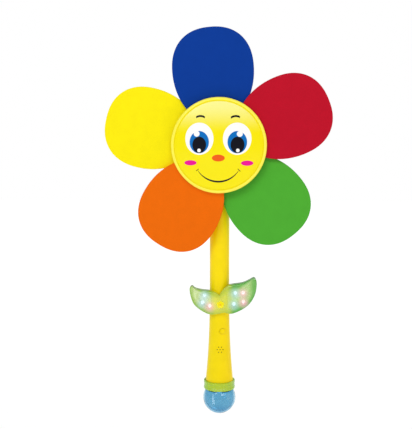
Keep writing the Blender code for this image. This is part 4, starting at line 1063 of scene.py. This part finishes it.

# %% [markdown]
# ## Glowing leaves
# The two leaves are one casing of clear green plastic, front and back halves round the stick, with small
# lamps inside. Such a wall is half see-through: thick and deep green along its rim, thin and milky on its
# crown. Real glass shading would trap the lamps' light inside, so the wall's Alpha lets it out instead.
# The mesh carries a value called rim, 1 at the outline and 0 on the crown, that steers colour and Alpha.
# The tips are thick all through, and near the stick its yellow shines into the green. From left to right
# the casing is painted a deeper green, which is painted shade. The wall's glow is painted too: each lamp
# gets a small bright core and a wide haze in its own tint, which is how frosted plastic spreads a point of
# light, and the whole wall glows weakly in its own colour, more on the front half than on the back.

# %% Lamps and their tints
lamp_nodes = {
    "led_left_1": "cool",
    "led_left_2": "cool",
    "led_left_3": "warm",
    "led_right_1": "cool",
    "led_right_2": "warm",
    "led_right_3": "cool",
    "led_right_4": "warm",
}
lamp_tints = {"cool": colour(205, 232, 255), "warm": colour(255, 214, 232)}
haze_tints = {"cool": colour(150, 188, 218), "warm": colour(232, 150, 190)}
print("lamps in the leaves:", len(lamp_nodes))

# %% Leaf finish


def glowing_leaf(name, rim_tints, crown_tints, thin, thick, glow):
    """A leaf wall from its left and right tints at the rim and on the crown, and its least and most Alpha."""
    constants = {"Roughness": 0.14, "Coat Weight": 0.5, "Coat Roughness": 0.05, "Emission Strength": glow}
    finish = Finish(name, constants)
    at = finish.place()
    x, _, z = finish.parts(at)
    rim = finish.painted("rim")
    cloud = finish.noise(at, 0.18, 3.0)
    tips = finish.step(x, 28.0, 35.0) + finish.step(x * -1, 26.0, 31.0) * 0.7
    depth = finish.step(rim + (cloud - 0.5) * 0.2, 0.1, 0.8).larger(tips * 0.85)
    # Painted shade: the casing is painted a deeper green from its left side to its right.
    across = finish.step(x, -12.0, 12.0)
    rim_tint = finish.mix(across, *rim_tints)
    crown_tint = finish.mix(across, *crown_tints)
    ground = finish.mix(depth, crown_tint, rim_tint)
    by_stick = 1 - finish.step(abs(x - 1.0), 5.0, 14.0)
    ground = finish.mix(by_stick * 0.75, ground, colour(222, 226, 70))
    # The emission is painted glow: a weak glow of the wall's own colour, less at the thick rim, then round each
    # lamp a haze, which also tints the base colour, and a bright core.
    light = finish.mix(depth * 0.35 + 0.62, ground, (0.0, 0.0, 0.0, 1.0))
    hot = None
    for node, kind in lamp_nodes.items():
        spot = middle(node)
        away = ((x - (spot.x - leaf_x)) ** 2 + (z - (spot.z - leaf_z)) ** 2).root()
        haze = (1 - finish.step(away, 0.0, 8.0)) * 0.6
        core = 1 - finish.step(away, 0.3, 1.25)
        light = finish.mix(haze, light, haze_tints[kind])
        light = finish.mix(core, light, lamp_tints[kind])
        ground = finish.mix(haze, ground, haze_tints[kind])
        hot = core if hot is None else hot.larger(core)
    finish.feed("Base Color", ground)
    finish.feed("Emission Color", light)
    finish.feed("Alpha", finish.range(depth, thin, thick).larger(hot * 0.95))
    finish.bump(cloud, 0.15, 0.4)
    return finish


left_rim, right_rim = colour(150, 198, 52), colour(92, 182, 66)
left_crown, right_crown = colour(206, 226, 150), colour(178, 218, 126)
leaf_tints = ((left_rim, right_rim), (left_crown, right_crown))
# The front wall gets more painted glow than the back one.
leaf_front_finish = glowing_leaf("clear_green_front", *leaf_tints, 0.4, 0.8, 0.8)
leaf_back_finish = glowing_leaf("clear_green_back", *leaf_tints, 0.4, 0.8, 0.2)
print("leaf nodes:", len(leaf_front_finish.tree.nodes))

# %% [markdown]
# The leaves' outline runs through a few points in five smooth stretches, which meet at the tips and the
# notches. Copies of it, each drawn a little towards a spine line, rise along a quarter round to a softly
# crowned top. The same rings, drawn in by a wall's width, make the inside.

# %% Leaf outline
leaf_stretches = (
    ((-1.1, 9.6), (-5.5, 12.4), (-11.4, 13.8), (-19.5, 14.6), (-26.2, 16.1), (-29.4, 18.6)),
    ((-29.4, 18.6), (-31.4, 17.6), (-31.9, 14.4), (-30.6, 7.2), (-27.4, -0.4), (-20.9, -6.2), (-13.3, -10.3)),
    ((-13.3, -10.3), (-7.8, -11.1), (-1.4, -10.0), (4.0, -8.7)),
    (
        (4.0, -8.7), (11.6, -9.9), (22.5, -5.3), (30.5, 1.3),
        (35.8, 11.1), (37.3, 21.5), (36.2, 26.2), (34.2, 27.8),
    ),
    ((34.2, 27.8), (32.2, 27.0), (29.3, 25.3), (22.3, 22.3), (8.9, 19.9), (2.8, 15.5), (-1.1, 9.6)),
)
leaf_spine = ((-29.2, 17.6), (-24.0, 9.0), (-14.0, 2.0), (2.0, 0.5), (16.0, 6.0), (28.0, 13.0), (34.0, 26.5))
leaf_edge_line = [point for stretch in leaf_stretches for point in smooth_run(stretch, 8)]
leaf_spine_line = [Vector(point) for point in smooth_run(leaf_spine, 24)]


def drawn_in(share):
    """The leaves' outline moved towards their spine by a share of the way."""
    ring = []
    for place in leaf_edge_line:
        point = Vector(place)
        nearest = min(leaf_spine_line, key=lambda other: (other - point).length)
        ring.append(point.lerp(nearest, share))
    return ring


print("leaf outline:", len(leaf_edge_line), "points")

# %% Tools for a leaf cover


def leaf_cover(name, joint, rim, crown, bulge):
    """A hollow cover from its joint plane over a round edge to its crown. The crown's side gives its facing."""
    side = -1 if crown < rim else 1
    rise = abs(crown - rim)
    rings = [(0.0, joint, 1.0)]
    for step in range(7):
        angle = math.pi / 2 * step / 6
        rings.append((0.26 * (1 - math.cos(angle)), rim + side * rise * math.sin(angle), 1.0 - 0.45 * step / 6))
    for step in range(1, 5):
        share = 0.26 + 0.68 * step / 4
        painted = (0.22, 0.05, 0.0, 0.0)[step - 1]
        rings.append((share, crown + side * bulge * math.sin(math.pi / 2 * step / 4), painted))
    wall_share = 0.1
    leaf_wall = 1.5
    inside = []
    for share, depth, painted in reversed(rings):
        inner_depth = depth if depth == joint else depth - side * leaf_wall
        inside.append((wall_share + share * (1 - wall_share) * 0.96, inner_depth, painted))
    layers = inside + rings
    count = len(leaf_edge_line)
    points = []
    painted_values = []
    for share, depth, painted in layers:
        for point in drawn_in(share):
            points.append((leaf_x + point.x, depth, leaf_z + point.y))
            painted_values.append(painted)
    faces = [tuple(range(count)), tuple(range(len(points) - count, len(points)))]
    for layer in range(len(layers) - 1):
        for step in range(count):
            after = (step + 1) % count
            low = layer * count
            faces.append((low + step, low + after, low + count + after, low + count + step))
    cover = raw_piece(name, points, faces, (leaf_x, 0.0, leaf_z))
    paint_rim(cover, points, painted_values)
    return cover


def paint_rim(cover, points, values):
    """Stores a value at each point of a mesh, by place, because the mesh may have dropped doubled points."""
    lookup = {}
    for point, value in zip(points, values):
        lookup[tuple(round(part, 2) for part in point)] = value
    attribute = cover.data.attributes.new("rim", "FLOAT", "POINT")
    origin = cover.location / MM
    for vertex, slot in zip(cover.data.vertices, attribute.data):
        key = tuple(round(part, 2) for part in vertex.co / MM + origin)
        slot.value = lookup.get(key, 0.5)


def stick_clearance():
    """The room that the stick takes up in the leaves' casing."""
    low, high = extent("leaf_rear_cover", 2)
    profile = ((0.0, low - 5), (10.45, low - 5), (10.45, high + 5), (0.0, high + 5))
    return turned("clearance", profile, "Z")


print("leaf tools ready")

# %% Leaf covers
leaf_front_y, leaf_seat_y = -14.5, -12.1
leaf_place = (leaf_x, leaf_z)
front_cover = leaf_cover("leaf_front_shell", -11.75, -12.5, leaf_front_y, 0.5)
carve(front_cover, [rod(3.2, leaf_front_y + 0.4, -10.75, leaf_place)], "UNION")
screw_room = [rod(2.4, -17.0, leaf_seat_y, leaf_place), rod(1.4, -17.0, 0.0, leaf_place)]
carve(front_cover, [stick_clearance(), *screw_room])
finished(front_cover, leaf_front_finish, "handle", ["leaf_front_cover"])
back_cover = leaf_cover("leaf_back_shell", -11.45, -5.6, -3.6, 0.5)
posts = [rod(1.5, -7.2, -4.0, (leaf_x + a, leaf_z + b)) for a, b in ((-17.5, 4.5), (20.0, 7.0))]
carve(back_cover, posts, "UNION")
carve(back_cover, [stick_clearance()])
finished(back_cover, leaf_back_finish, "handle", ["leaf_rear_cover"])

# %% [markdown]
# Each lamp is a 3 mm light-emitting diode: a clear round-ended lens with a collar. It is turned, and its
# finish gives light of its own. Cool and warm ones alternate, so the leaves shimmer in two tints.

# %% Lamps


def lamp_finish(name, tint, strength):
    finish = Finish(name, {"Roughness": 0.08, "Emission Strength": strength, "Specular IOR Level": 0.6})
    at = finish.place()
    speck = finish.noise(at, 0.8, 1.0)
    finish.feed("Base Color", finish.mix(speck, tint, white_ink))
    finish.feed("Emission Color", finish.mix(finish.step(speck, 0.3, 0.7), tint, white_ink))
    return finish


lens_finishes = {kind: lamp_finish("lens_" + kind, tint, 0.9) for kind, tint in lamp_tints.items()}
for node, kind in lamp_nodes.items():
    low, high = extent(node, 1)
    at = middle(node)
    lens = [(0.0, high), (1.8, high), (1.8, high - 0.6), (1.5, high - 0.7), (1.5, low + 1.5)]
    lens += round_end(1.5, low + 1.5, -1.5, 6)
    piece = turned("lamp_" + node[4:], lens, "Y", (at.x, at.z), 32)
    finished(piece, lens_finishes[kind], "handle", [node])

# %% [markdown]
# A small flower caps the screw between the leaves. Its five lobes come from a radius that swells five
# times round the circle, and a shallow dome over it. A deeper yellow marks its middle.

# %% Flower cap


def cap_finish():
    finish = Finish("flower_cap", {"Roughness": 0.3, "Coat Weight": 0.15, "Specular IOR Level": 0.2})
    at = finish.place()
    x, _, z = finish.parts(at)
    away = (x**2 + z**2).root()
    grain = finish.noise(at, 1.2, 2.0)
    heart = 1 - finish.step(away + grain * 0.2, 0.8, 1.3)
    petals = finish.mix(grain, colour(253, 234, 0), colour(255, 246, 20))
    finish.feed("Base Color", finish.mix(heart, petals, colour(248, 196, 0)))
    finish.bump(grain, 0.05, 0.3)
    return finish


def make_cap():
    """A dome whose outline has five lobes and whose middle is a dimple, on a short round shank."""
    front, shank_end = extent("leaf_flower_plug", 1)
    seat = front + 0.9
    shank_r = 1.9
    count = 100
    points = []
    shares = (0.0, 0.18, 0.3, 0.36, 0.5, 0.65, 0.8, 0.9, 0.97, 1.0)
    for share in shares:
        for step in range(count):
            angle = 2 * math.pi * step / count
            lobe = 0.8 + 0.2 * abs(math.cos(2.5 * (angle - math.pi / 2))) ** (0.7 / max(share, 0.2))
            radius = 3.95 * share * lobe
            rise = 1.05 * math.sqrt(max(1 - share**3, 0.0))
            dip = 0.35 * math.exp(-(((share - 0.36) / 0.08) ** 2))
            depth = seat - rise + dip
            points.append((leaf_x + radius * math.cos(angle), depth, leaf_z + radius * math.sin(angle)))
    for depth in (seat, shank_end):
        for step in range(count):
            angle = 2 * math.pi * step / count
            points.append((leaf_x + shank_r * math.cos(angle), depth, leaf_z + shank_r * math.sin(angle)))
    faces = []
    for ring in range(len(shares) + 1):
        for step in range(count):
            after = (step + 1) % count
            low = ring * count
            faces.append((low + step, low + after, low + count + after, low + count + step))
    faces.append(tuple(range(len(points) - count, len(points))))
    return raw_piece("flower_cap", points, faces, (leaf_x, seat, leaf_z))


finished(make_cap(), cap_finish(), "handle", ["leaf_flower_plug"])

# %% [markdown]
# ## Collar and ball
# A clear yellow-green collar holds the two halves together over their spigot. It looks yellow in front,
# where the stick shows through, and green at its sides, where one looks along its wall. So its Alpha
# rises where the surface turns away. Shallow flutes in its wall give fingers a grip.

# %% Collar finish


def clear_collar():
    finish = Finish("clear_collar", {"Coat Weight": 0.5, "Coat Roughness": 0.05, "Specular IOR Level": 0.3})
    at = finish.place()
    cloud = finish.noise(at, 0.25, 2.0)
    aside = finish.edge_on(0.45)
    finish.feed("Base Color", finish.mix(aside, colour(200, 226, 40), colour(116, 198, 58)))
    finish.feed("Alpha", finish.range(finish.step(aside, 0.0, 0.9), 0.78, 0.95))
    finish.feed("Roughness", finish.range(cloud, 0.08, 0.2))
    finish.bump(cloud, 0.1, 0.4)
    return finish


collar_finish = clear_collar()
print("collar finish:", collar_finish.material.name)

# %% Collar
flute_count = 32
flute_depth = 0.12


def make_collar():
    low, high = extent("collar_ring", 2)
    radius = 16.35
    mouth = stem_radius(handle_end) + 0.3
    outer = [(spigot_r + 0.3, low), (radius, low), (radius, low + 2.4), (radius - 0.3, low + 2.8)]
    outer += [(radius - 0.3, high - 2.8), (radius, high - 2.4), (radius, high), (mouth, high)]
    outer += [(mouth, handle_end - 0.3), (spigot_r + 0.3, handle_end - 0.3)]
    collar = turned("clear_collar", rounded(outer, 0.8, 5), "Z", (0.0, 0.0), 192)
    for vertex in collar.data.vertices:
        across = Vector((vertex.co.x, vertex.co.y, 0.0))
        if across.length > (radius - 1.0) * MM:
            flute = flute_depth * (math.cos(flute_count * math.atan2(across.y, across.x)) - 1)
            vertex.co += across.normalized() * flute * MM
    return collar


finished(make_collar(), collar_finish, "handle", ["collar_ring"])

# %% [markdown]
# The ball is a hollow blow of clear blue acrylic. This one is real glass shading, because nothing has to
# shine through it but the pale room, and light bends in its wall by itself. The tint is mild, since light
# crosses four surfaces. It is deeper at the neck, where the plastic is thick, and towards the bottom. Low
# down at the sides, where one looks along the wall, it is deeper too, and keeping that to the lower half is
# painted shade.

# %% Ball finish


def clear_ball():
    finish = Finish("clear_blue", {"Transmission Weight": 1.0, "IOR": 1.32})
    at = finish.place()
    cloud = finish.noise(at, 0.12, 2.0)
    _, _, z = finish.parts(at)
    # Deeper blue: at the neck for its thick plastic, towards the bottom, and low down at the sides as painted
    # shade.
    low = 1 - finish.step(z, -16.5, -12.0)
    high = finish.step(z, 7.5, 9.5)
    lower_side_shade = finish.step(finish.edge_on(0.5), 0.4, 0.75) * (1 - finish.step(z, -7.0, 3.0))
    thick = (low * 0.7).larger(high * 0.8).larger(lower_side_shade)
    tint = finish.mix(cloud, (0.3, 0.58, 0.74, 1.0), (0.37, 0.64, 0.78, 1.0))
    finish.feed("Base Color", finish.mix(thick, tint, (0.1, 0.38, 0.62, 1.0)))
    finish.feed("Roughness", finish.range(cloud, 0.02, 0.06))
    finish.bump(cloud, 0.4, 0.5)
    return finish


ball_finish = clear_ball()
print("ball nodes:", len(ball_finish.tree.nodes))

# %% Ball


def make_ball():
    """A hollow ball with a neck and a lip above it, which the stick's two halves grip."""
    low, high = extent("globe_shell", 2)
    radius, wall_thickness, neck = 17.0, 1.5, 10.2
    middle_z = low + radius
    shoulder, lip = -50.3, -44.6
    top = math.degrees(math.asin((shoulder - middle_z) / radius))
    outer = arc_profile(radius, -90.0, top, 40, middle_z)
    outer[0] = (0.0, low)
    collar = [(neck, shoulder), (neck, lip), (neck + 1.4, lip), (neck + 1.4, high), (neck - 1.2, high)]
    inner_top = math.degrees(math.asin((shoulder - wall_thickness - middle_z) / (radius - wall_thickness)))
    inner = arc_profile(radius - wall_thickness, inner_top, -90.0, 36, middle_z)
    inner[-1] = (0.0, low + wall_thickness)
    profile = outer + collar + [(neck - 1.2, shoulder - wall_thickness)] + inner
    return turned("clear_ball", profile, "Z", (0.0, 0.0), 128, (0.0, 0.0, middle_z))


ball = finished(make_ball(), ball_finish, "handle", ["globe_shell"])

# %% [markdown]
# A clear ball is read by what it mirrors. A studio would stand a tall strip light close on its left and a
# small card on its right, which show as a long soft streak and a pale patch. The two lamps here are linked
# to the ball alone, so that they neither brighten the handle nor show in the face.

# %% Lamps for the ball


def lamp_for_ball(name, aim, width, height, power):
    """A lamp that only the ball sees, three tenths of a metre away from it."""
    place = ball.location + Vector(aim).normalized() * 0.3
    lamp = area_lamp(name, place, ball.location, width, height, power)
    only_ball = bpy.data.collections.new("lit_by_" + name)
    only_ball.objects.link(ball)
    lamp.light_linking.receiver_collection = only_ball
    lamp.visible_camera = False
    print(name, "at", [round(part, 2) for part in place])


lamp_for_ball("ball_strip", (-0.62, -0.70, -0.12), 0.09, 0.34, 0.5)
lamp_for_ball("ball_card", (0.45, -0.75, 0.5), 0.12, 0.08, 0.15)

# %% [markdown]
# Inside the neck sits one larger lamp of the same kind as those in the leaves, which points down into the
# ball.

# %% Lamp in the ball


def make_ball_lamp():
    low, high = extent("globe_led", 2)
    lens = [(0.0, high), (2.9, high), (2.9, high - 1.0), (2.5, high - 1.1), (2.5, low + 2.5)]
    lens += round_end(2.5, low + 2.5, -2.5, 8)
    return turned("ball_lamp", lens, "Z", (0.0, 0.0), 40)


ball_lens = lamp_finish("lens_ball", colour(205, 232, 250), 0.6)
finished(make_ball_lamp(), ball_lens, "handle", ["globe_led"])

# %% [markdown]
# ## Screws
# The halves, the door, the plate, the leaves and the hub are held by small pan-head screws. The thread is
# drawn as close ridges, which is all that an eye can tell at this size, and a cross is cut in the head.

# %% Steel finish


def steel_finish(name, tint, roughness):
    finish = Finish(name, {"Anisotropic": 0.2})
    at = finish.place()
    brushed = finish.noise(finish.stretched(at, (1.0, 1.0, 7.0)), 2.0, 3.0)
    stain = finish.noise(at, 0.4, 2.0)
    finish.feed("Base Color", finish.mix(stain, scaled(tint, 0.85), tint))
    finish.feed("Metallic", finish.range(stain, 0.92, 1.0))
    finish.feed("Roughness", finish.range(brushed, roughness - 0.08, roughness + 0.12))
    finish.bump(brushed, 0.02, 0.3)
    return finish


steel = steel_finish("zinc_steel", colour(196, 198, 202), 0.28)
print("steel:", steel.material.name)

# %% Screws
thread_pitch = 0.7


def make_screw(node, body, side):
    """A screw whose head is towards +Y for side 1 and towards -Y for side -1."""
    low, high = extent(node, 1)
    tip, crown = (low, high) if side > 0 else (high, low)
    seat = crown - side * 1.4
    profile = [(0.0, tip), (0.5, tip), (0.8, tip + side * 0.8)]
    turns = int(abs(seat - tip - side * 1.6) / thread_pitch)
    for turn in range(turns):
        at = tip + side * (0.9 + thread_pitch * turn)
        profile += [(0.82, at), (1.1, at + side * 0.3), (1.1, at + side * 0.36), (0.82, at + side * 0.62)]
    profile += [(0.95, seat), (2.0, seat), (2.0, seat + side * 0.6), (1.75, seat + side * 1.05)]
    profile += [(1.2, seat + side * 1.32), (0.6, crown), (0.0, crown)]
    at = middle(node)
    screw = turned("screw_" + node.replace("_screw", ""), profile, "Y", (at.x, at.z), 32)
    depth = sorted((crown - side * 0.9, crown + side * 1.0))
    cross = [
        block((at.x - 1.1, at.x + 1.1), depth, (at.z - 0.2, at.z + 0.2)),
        block((at.x - 0.2, at.x + 0.2), depth, (at.z - 1.1, at.z + 1.1)),
    ]
    carve(screw, cross)
    return finished(screw, steel, body, [node])


for number in (1, 2, 3, 4):
    make_screw(f"shell_screw_{number}", "handle", 1)
make_screw("plate_screw_1", "handle", 1)
make_screw("plate_screw_2", "handle", 1)
make_screw("battery_door_screw", "battery_cover", 1)
make_screw("leaf_screw", "handle", -1)
make_screw("hub_screw", "flower", -1)

# %% [markdown]
# ## Hub
# Behind the face two white discs clamp the petals. The rear one carries a pin for each petal, and a
# shoulder under the petals of the upper layers. Both are turned with soft edges, then pins are joined on.

# %% Hub discs
hub_r = 30.0


def hub_disc(name, front, back):
    edge = rounded(((0.0, back), (hub_r, back), (hub_r, front), (0.0, front)), 0.6, 4)
    return turned(name, edge, "Y", (0.0, face_z), 128, (0.0, back, face_z))


def make_hub():
    clamp_front, clamp_back = extent("petal_clamp", 1)
    back = extent("hub_back_plate", 1)[1]
    front = back - 1.8
    plate = hub_disc("white_hub_plate", front, back)
    joined = [rod(5.5, clamp_back + 0.3, front + 0.5, (0.0, face_z), 48)]
    for name in petal_angles:
        petal_back = extent("petal_" + name, 1)[1]
        if petal_back < front - 1.0:
            joined.append(rod(3.2, petal_back + 0.3, front + 0.5, pin_place(name)))
        joined.append(rod(1.4, clamp_front + 0.6, front + 0.5, pin_place(name)))
    carve(plate, joined, "UNION")
    shaft_room = rod(1.55, clamp_front + 5.5, back + 1, (0.0, face_z))
    carve(plate, [shaft_room, rod(1.4, clamp_front, back, (0.0, face_z))])
    return even_shading(plate)


def make_clamp():
    front, back = extent("petal_clamp", 1)
    disc = hub_disc("white_petal_clamp", front, back)
    holes = [rod(1.4, front - 1, back + 1, (0.0, face_z))]
    holes += [rod(1.7, front - 1, back + 1, pin_place(name)) for name in petal_angles]
    carve(disc, holes)
    return even_shading(disc)


finished(make_hub(), white_plastic, "flower", ["hub_back_plate"])
finished(make_clamp(), white_plastic, "flower", ["petal_clamp"])

# %% [markdown]
# ## What is inside
# The works show through the leaves and the ball, at the battery door and between the housing and the hub.
# Their shapes are right in the engineering model, but its round parts are made of flat strips. A copy of a
# part's mesh with rounded shading is enough for them, and it keeps every tooth of the gears in its place.

# %% Smooth copies of the model's parts
body_of = {node: body for body, nodes in frame["record"]["behaviour"]["bodies"].items() for node in nodes}


def smooth_copy(node, finish, degrees=35.0):
    """A copy of a part's mesh about its own middle, smooth where faces meet at less than some degrees."""
    mesh = frame["nodes"][node].data.copy()
    start = middle(node)
    shape = bmesh.new()
    shape.from_mesh(mesh)
    bmesh.ops.remove_doubles(shape, verts=shape.verts, dist=0.001 * MM)
    bmesh.ops.translate(shape, verts=shape.verts, vec=-start * MM)
    bmesh.ops.recalc_face_normals(shape, faces=shape.faces)
    shape.to_mesh(mesh)
    shape.free()
    mesh.attributes.active_color = None
    smooth_shading(mesh, degrees)
    obj = bpy.data.objects.new("fine_" + node, mesh)
    obj.location = start * MM
    scene_objects.link(obj)
    return finished(obj, finish, body_of[node], [node])


print("bodies:", sorted(set(body_of.values())))

# %% [markdown]
# Small gears are moulded in natural nylon: milky, slightly waxy, with a grain too fine to feel. The motor
# can and the shafts are plated steel, its end cap is white, and its magnets are dark sintered ferrite.

# %% Finishes of the works


def grainy(name, tint, roughness, scale, spread, constants):
    """A dull finish with grain, for nylon, ferrite and sintered brass."""
    finish = Finish(name, constants)
    at = finish.place()
    grain = finish.noise(at, scale, 4.0)
    pores = finish.cells(at, scale * 1.7)
    shade = finish.step(grain * 0.6 + pores * 0.4, 0.25, 0.75)
    finish.feed("Base Color", finish.mix(shade, scaled(tint, 1.0 - spread), tint))
    finish.feed("Roughness", finish.range(grain, roughness - 0.08, roughness + 0.1))
    finish.bump(grain * 0.6 + pores * 0.4, 0.04, 0.5)
    return finish


nylon = grainy("natural_nylon", colour(226, 222, 206), 0.42, 1.4, 0.08, {"Specular IOR Level": 0.4})
ferrite = grainy("dark_ferrite", colour(62, 60, 64), 0.78, 2.5, 0.35, {"Specular IOR Level": 0.3})
bush_brass = grainy("sintered_brass", colour(205, 168, 92), 0.36, 3.0, 0.25, {"Metallic": 1.0})
plated = steel_finish("plated_can", colour(188, 190, 194), 0.34)


def winding_finish():
    """Copper wire wound round a core of thin steel sheets: fine ridges, and dark sheets in the gaps."""
    finish = Finish("copper_winding", {})
    at = finish.place()
    x, y, z = finish.parts(at)
    ridges = (y * (2 * math.pi / 0.42)).wave() * 0.5 + 0.5
    lobes = finish.step(finish.noise(at, 0.35, 1.0), 0.4, 0.6)
    copper = finish.mix(ridges, colour(120, 52, 22), colour(214, 118, 62))
    finish.feed("Base Color", finish.mix(lobes, copper, colour(96, 98, 104)))
    finish.feed("Metallic", finish.range(ridges, 0.75, 0.95))
    finish.feed("Roughness", finish.range(ridges, 0.3, 0.45))
    finish.bump(ridges, 0.08, 0.8)
    return finish


winding = winding_finish()
print("works:", [made.material.name for made in (nylon, ferrite, bush_brass, plated, winding)])

# %% Gears, shafts and motor
for node in ("output_gear", "idler_gear", "motor_pinion"):
    smooth_copy(node, nylon, 28.0)
for node in ("rotor_shaft", "idler_pin", "motor_shaft"):
    smooth_copy(node, steel)
smooth_copy("motor_can", plated)
smooth_copy("motor_end_cap", white_plastic)
smooth_copy("motor_magnet_left", ferrite)
smooth_copy("motor_magnet_right", ferrite)
smooth_copy("motor_armature", winding)
smooth_copy("shaft_front_bush", bush_brass)
smooth_copy("shaft_rear_bush", bush_brass)
smooth_copy("gearbox_plate", white_plastic)

# %% [markdown]
# The cells are steel cans in a printed jacket. A stack of bands along the can makes it: bare metal ends,
# a dark body and a coppery shoulder by the plus end, with a fine pale line between. There is no lettering.

# %% Cell finish


def cell_finish():
    finish = Finish("cell_jacket", {"Coat Weight": 0.2, "Coat Roughness": 0.1})
    at = finish.place()
    _, _, z = finish.parts(at)
    wear = finish.noise(finish.stretched(at, (1.0, 1.0, 0.2)), 0.8, 3.0)
    shoulder = finish.step(z + wear * 0.1, 11.0, 11.1)
    line = finish.step(z, 10.3, 10.4) * (1 - finish.step(z, 10.8, 10.9))
    bare = finish.step(abs(z), 20.6, 20.7)
    ground = finish.mix(shoulder, colour(44, 50, 62), colour(196, 128, 72))
    ground = finish.mix(wear * 0.3, ground, colour(90, 96, 110))
    ground = finish.mix(line, ground, colour(222, 222, 214))
    finish.feed("Base Color", finish.mix(bare, ground, colour(198, 200, 204)))
    finish.feed("Metallic", (shoulder * 0.8).larger(bare))
    finish.feed("Roughness", finish.range(wear, 0.22, 0.4))
    finish.bump(wear, 0.02, 0.3)
    return finish


cell_jacket = cell_finish()
print("cells:", cell_jacket.material.name)

# %% Cells, spring and contact
for number in (1, 2, 3):
    smooth_copy(f"battery_cell_{number}", cell_jacket)
smooth_copy("battery_spring", steel, 60.0)
smooth_copy("battery_contact", steel)

# %% [markdown]
# A circuit board is glass laminate under a green or white lacquer. The copper runs show through it as
# slightly lighter, slightly raised lines. Two crossing sets of lines, broken up by noise, suggest them.

# %% Board finish


def board_finish(name, lacquer, copper_run):
    finish = Finish(name, {"Coat Weight": 0.3, "Coat Roughness": 0.15})
    at = finish.place()
    x, _, z = finish.parts(at)
    patch = finish.noise(at, 0.3, 1.0)
    upright = finish.step((x * 2.4).wave(), 0.55, 0.75) * finish.step(patch, 0.46, 0.5)
    level = finish.step((z * 2.4).wave(), 0.55, 0.75) * (1 - finish.step(patch, 0.5, 0.54))
    runs = upright.larger(level)
    weave = finish.noise(at, 3.0, 2.0)
    ground = finish.mix(weave * 0.25, lacquer, scaled(lacquer, 0.7))
    finish.feed("Base Color", finish.mix(runs, ground, copper_run))
    finish.feed("Roughness", finish.range(weave, 0.28, 0.45))
    finish.bump(runs * 0.7 + weave * 0.2, 0.04, 0.6)
    return finish


green_board = board_finish("green_laminate", colour(18, 98, 46), colour(52, 140, 70))
white_board = board_finish("white_laminate", colour(232, 234, 228), colour(214, 218, 206))
red_lead = plastic("red_lead", colour(196, 30, 30), 0.4)
print("boards:", green_board.material.name, white_board.material.name)

# %% Boards, switch, buzzer and lead
smooth_copy("circuit_board", green_board)
smooth_copy("leaf_board_left", white_board)
smooth_copy("leaf_board_right", white_board)
smooth_copy("tact_switch", black_plastic)
smooth_copy("buzzer", black_plastic)
smooth_copy("motor_lead", red_lead, 60.0)
smooth_copy("globe_led_holder", white_plastic)
left_over = [node for node, obj in frame["nodes"].items() if not obj.hide_render]
print("parts still shown as the model has them:", left_over)

# %% [markdown]
# ## Floor
# A wide pale floor lies well below the toy. Like the sheet of a light table it gives light of its own, a
# little more far away where the lamps don't reach. So it melts into the tent behind it, no horizon cuts
# through the view, and light comes up under the petals and into the ball.

# %% Floor finish


def floor_finish():
    finish = Finish("pale_floor", {"Roughness": 0.9, "Specular IOR Level": 0.1, "Emission Strength": 1.0})
    at = finish.place()
    grain = finish.noise(at, 0.02, 3.0)
    finish.feed("Base Color", finish.mix(grain, (0.33, 0.33, 0.33, 1.0), (0.35, 0.35, 0.35, 1.0)))
    x, y, _ = finish.parts(at)
    far = finish.step((x**2 + y**2).root(), 300.0, 2500.0)
    finish.feed("Emission Color", finish.mix(far, (0.76, 0.76, 0.76, 1.0), (0.92, 0.92, 0.92, 1.0)))
    finish.bump(grain, 0.5, 0.1)
    return finish


floor_cloth = floor_finish()
print("floor finish:", floor_cloth.material.name)

# %% Floor
floor_half = 6.0
floor_height = -0.3


def make_floor():
    shape = bmesh.new()
    bmesh.ops.create_grid(shape, x_segments=12, y_segments=12, size=floor_half)
    mesh = bpy.data.meshes.new("pale_floor")
    shape.to_mesh(mesh)
    shape.free()
    floor = bpy.data.objects.new("pale_floor", mesh)
    floor.location.z = floor_height
    mesh.materials.append(floor_cloth.material)
    scene_objects.link(floor)
    floor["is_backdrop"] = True
    return floor


print("floor at", make_floor().location.z, "m")

# Both boxes are written down, so that they can be compared.

# %% Sizes before and after
seen_box = [list(corner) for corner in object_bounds()]
for name, corners in (("model", cad_box), ("looks", seen_box)):
    print(name, [round(1000 * (b - a), 1) for a, b in zip(*corners)])
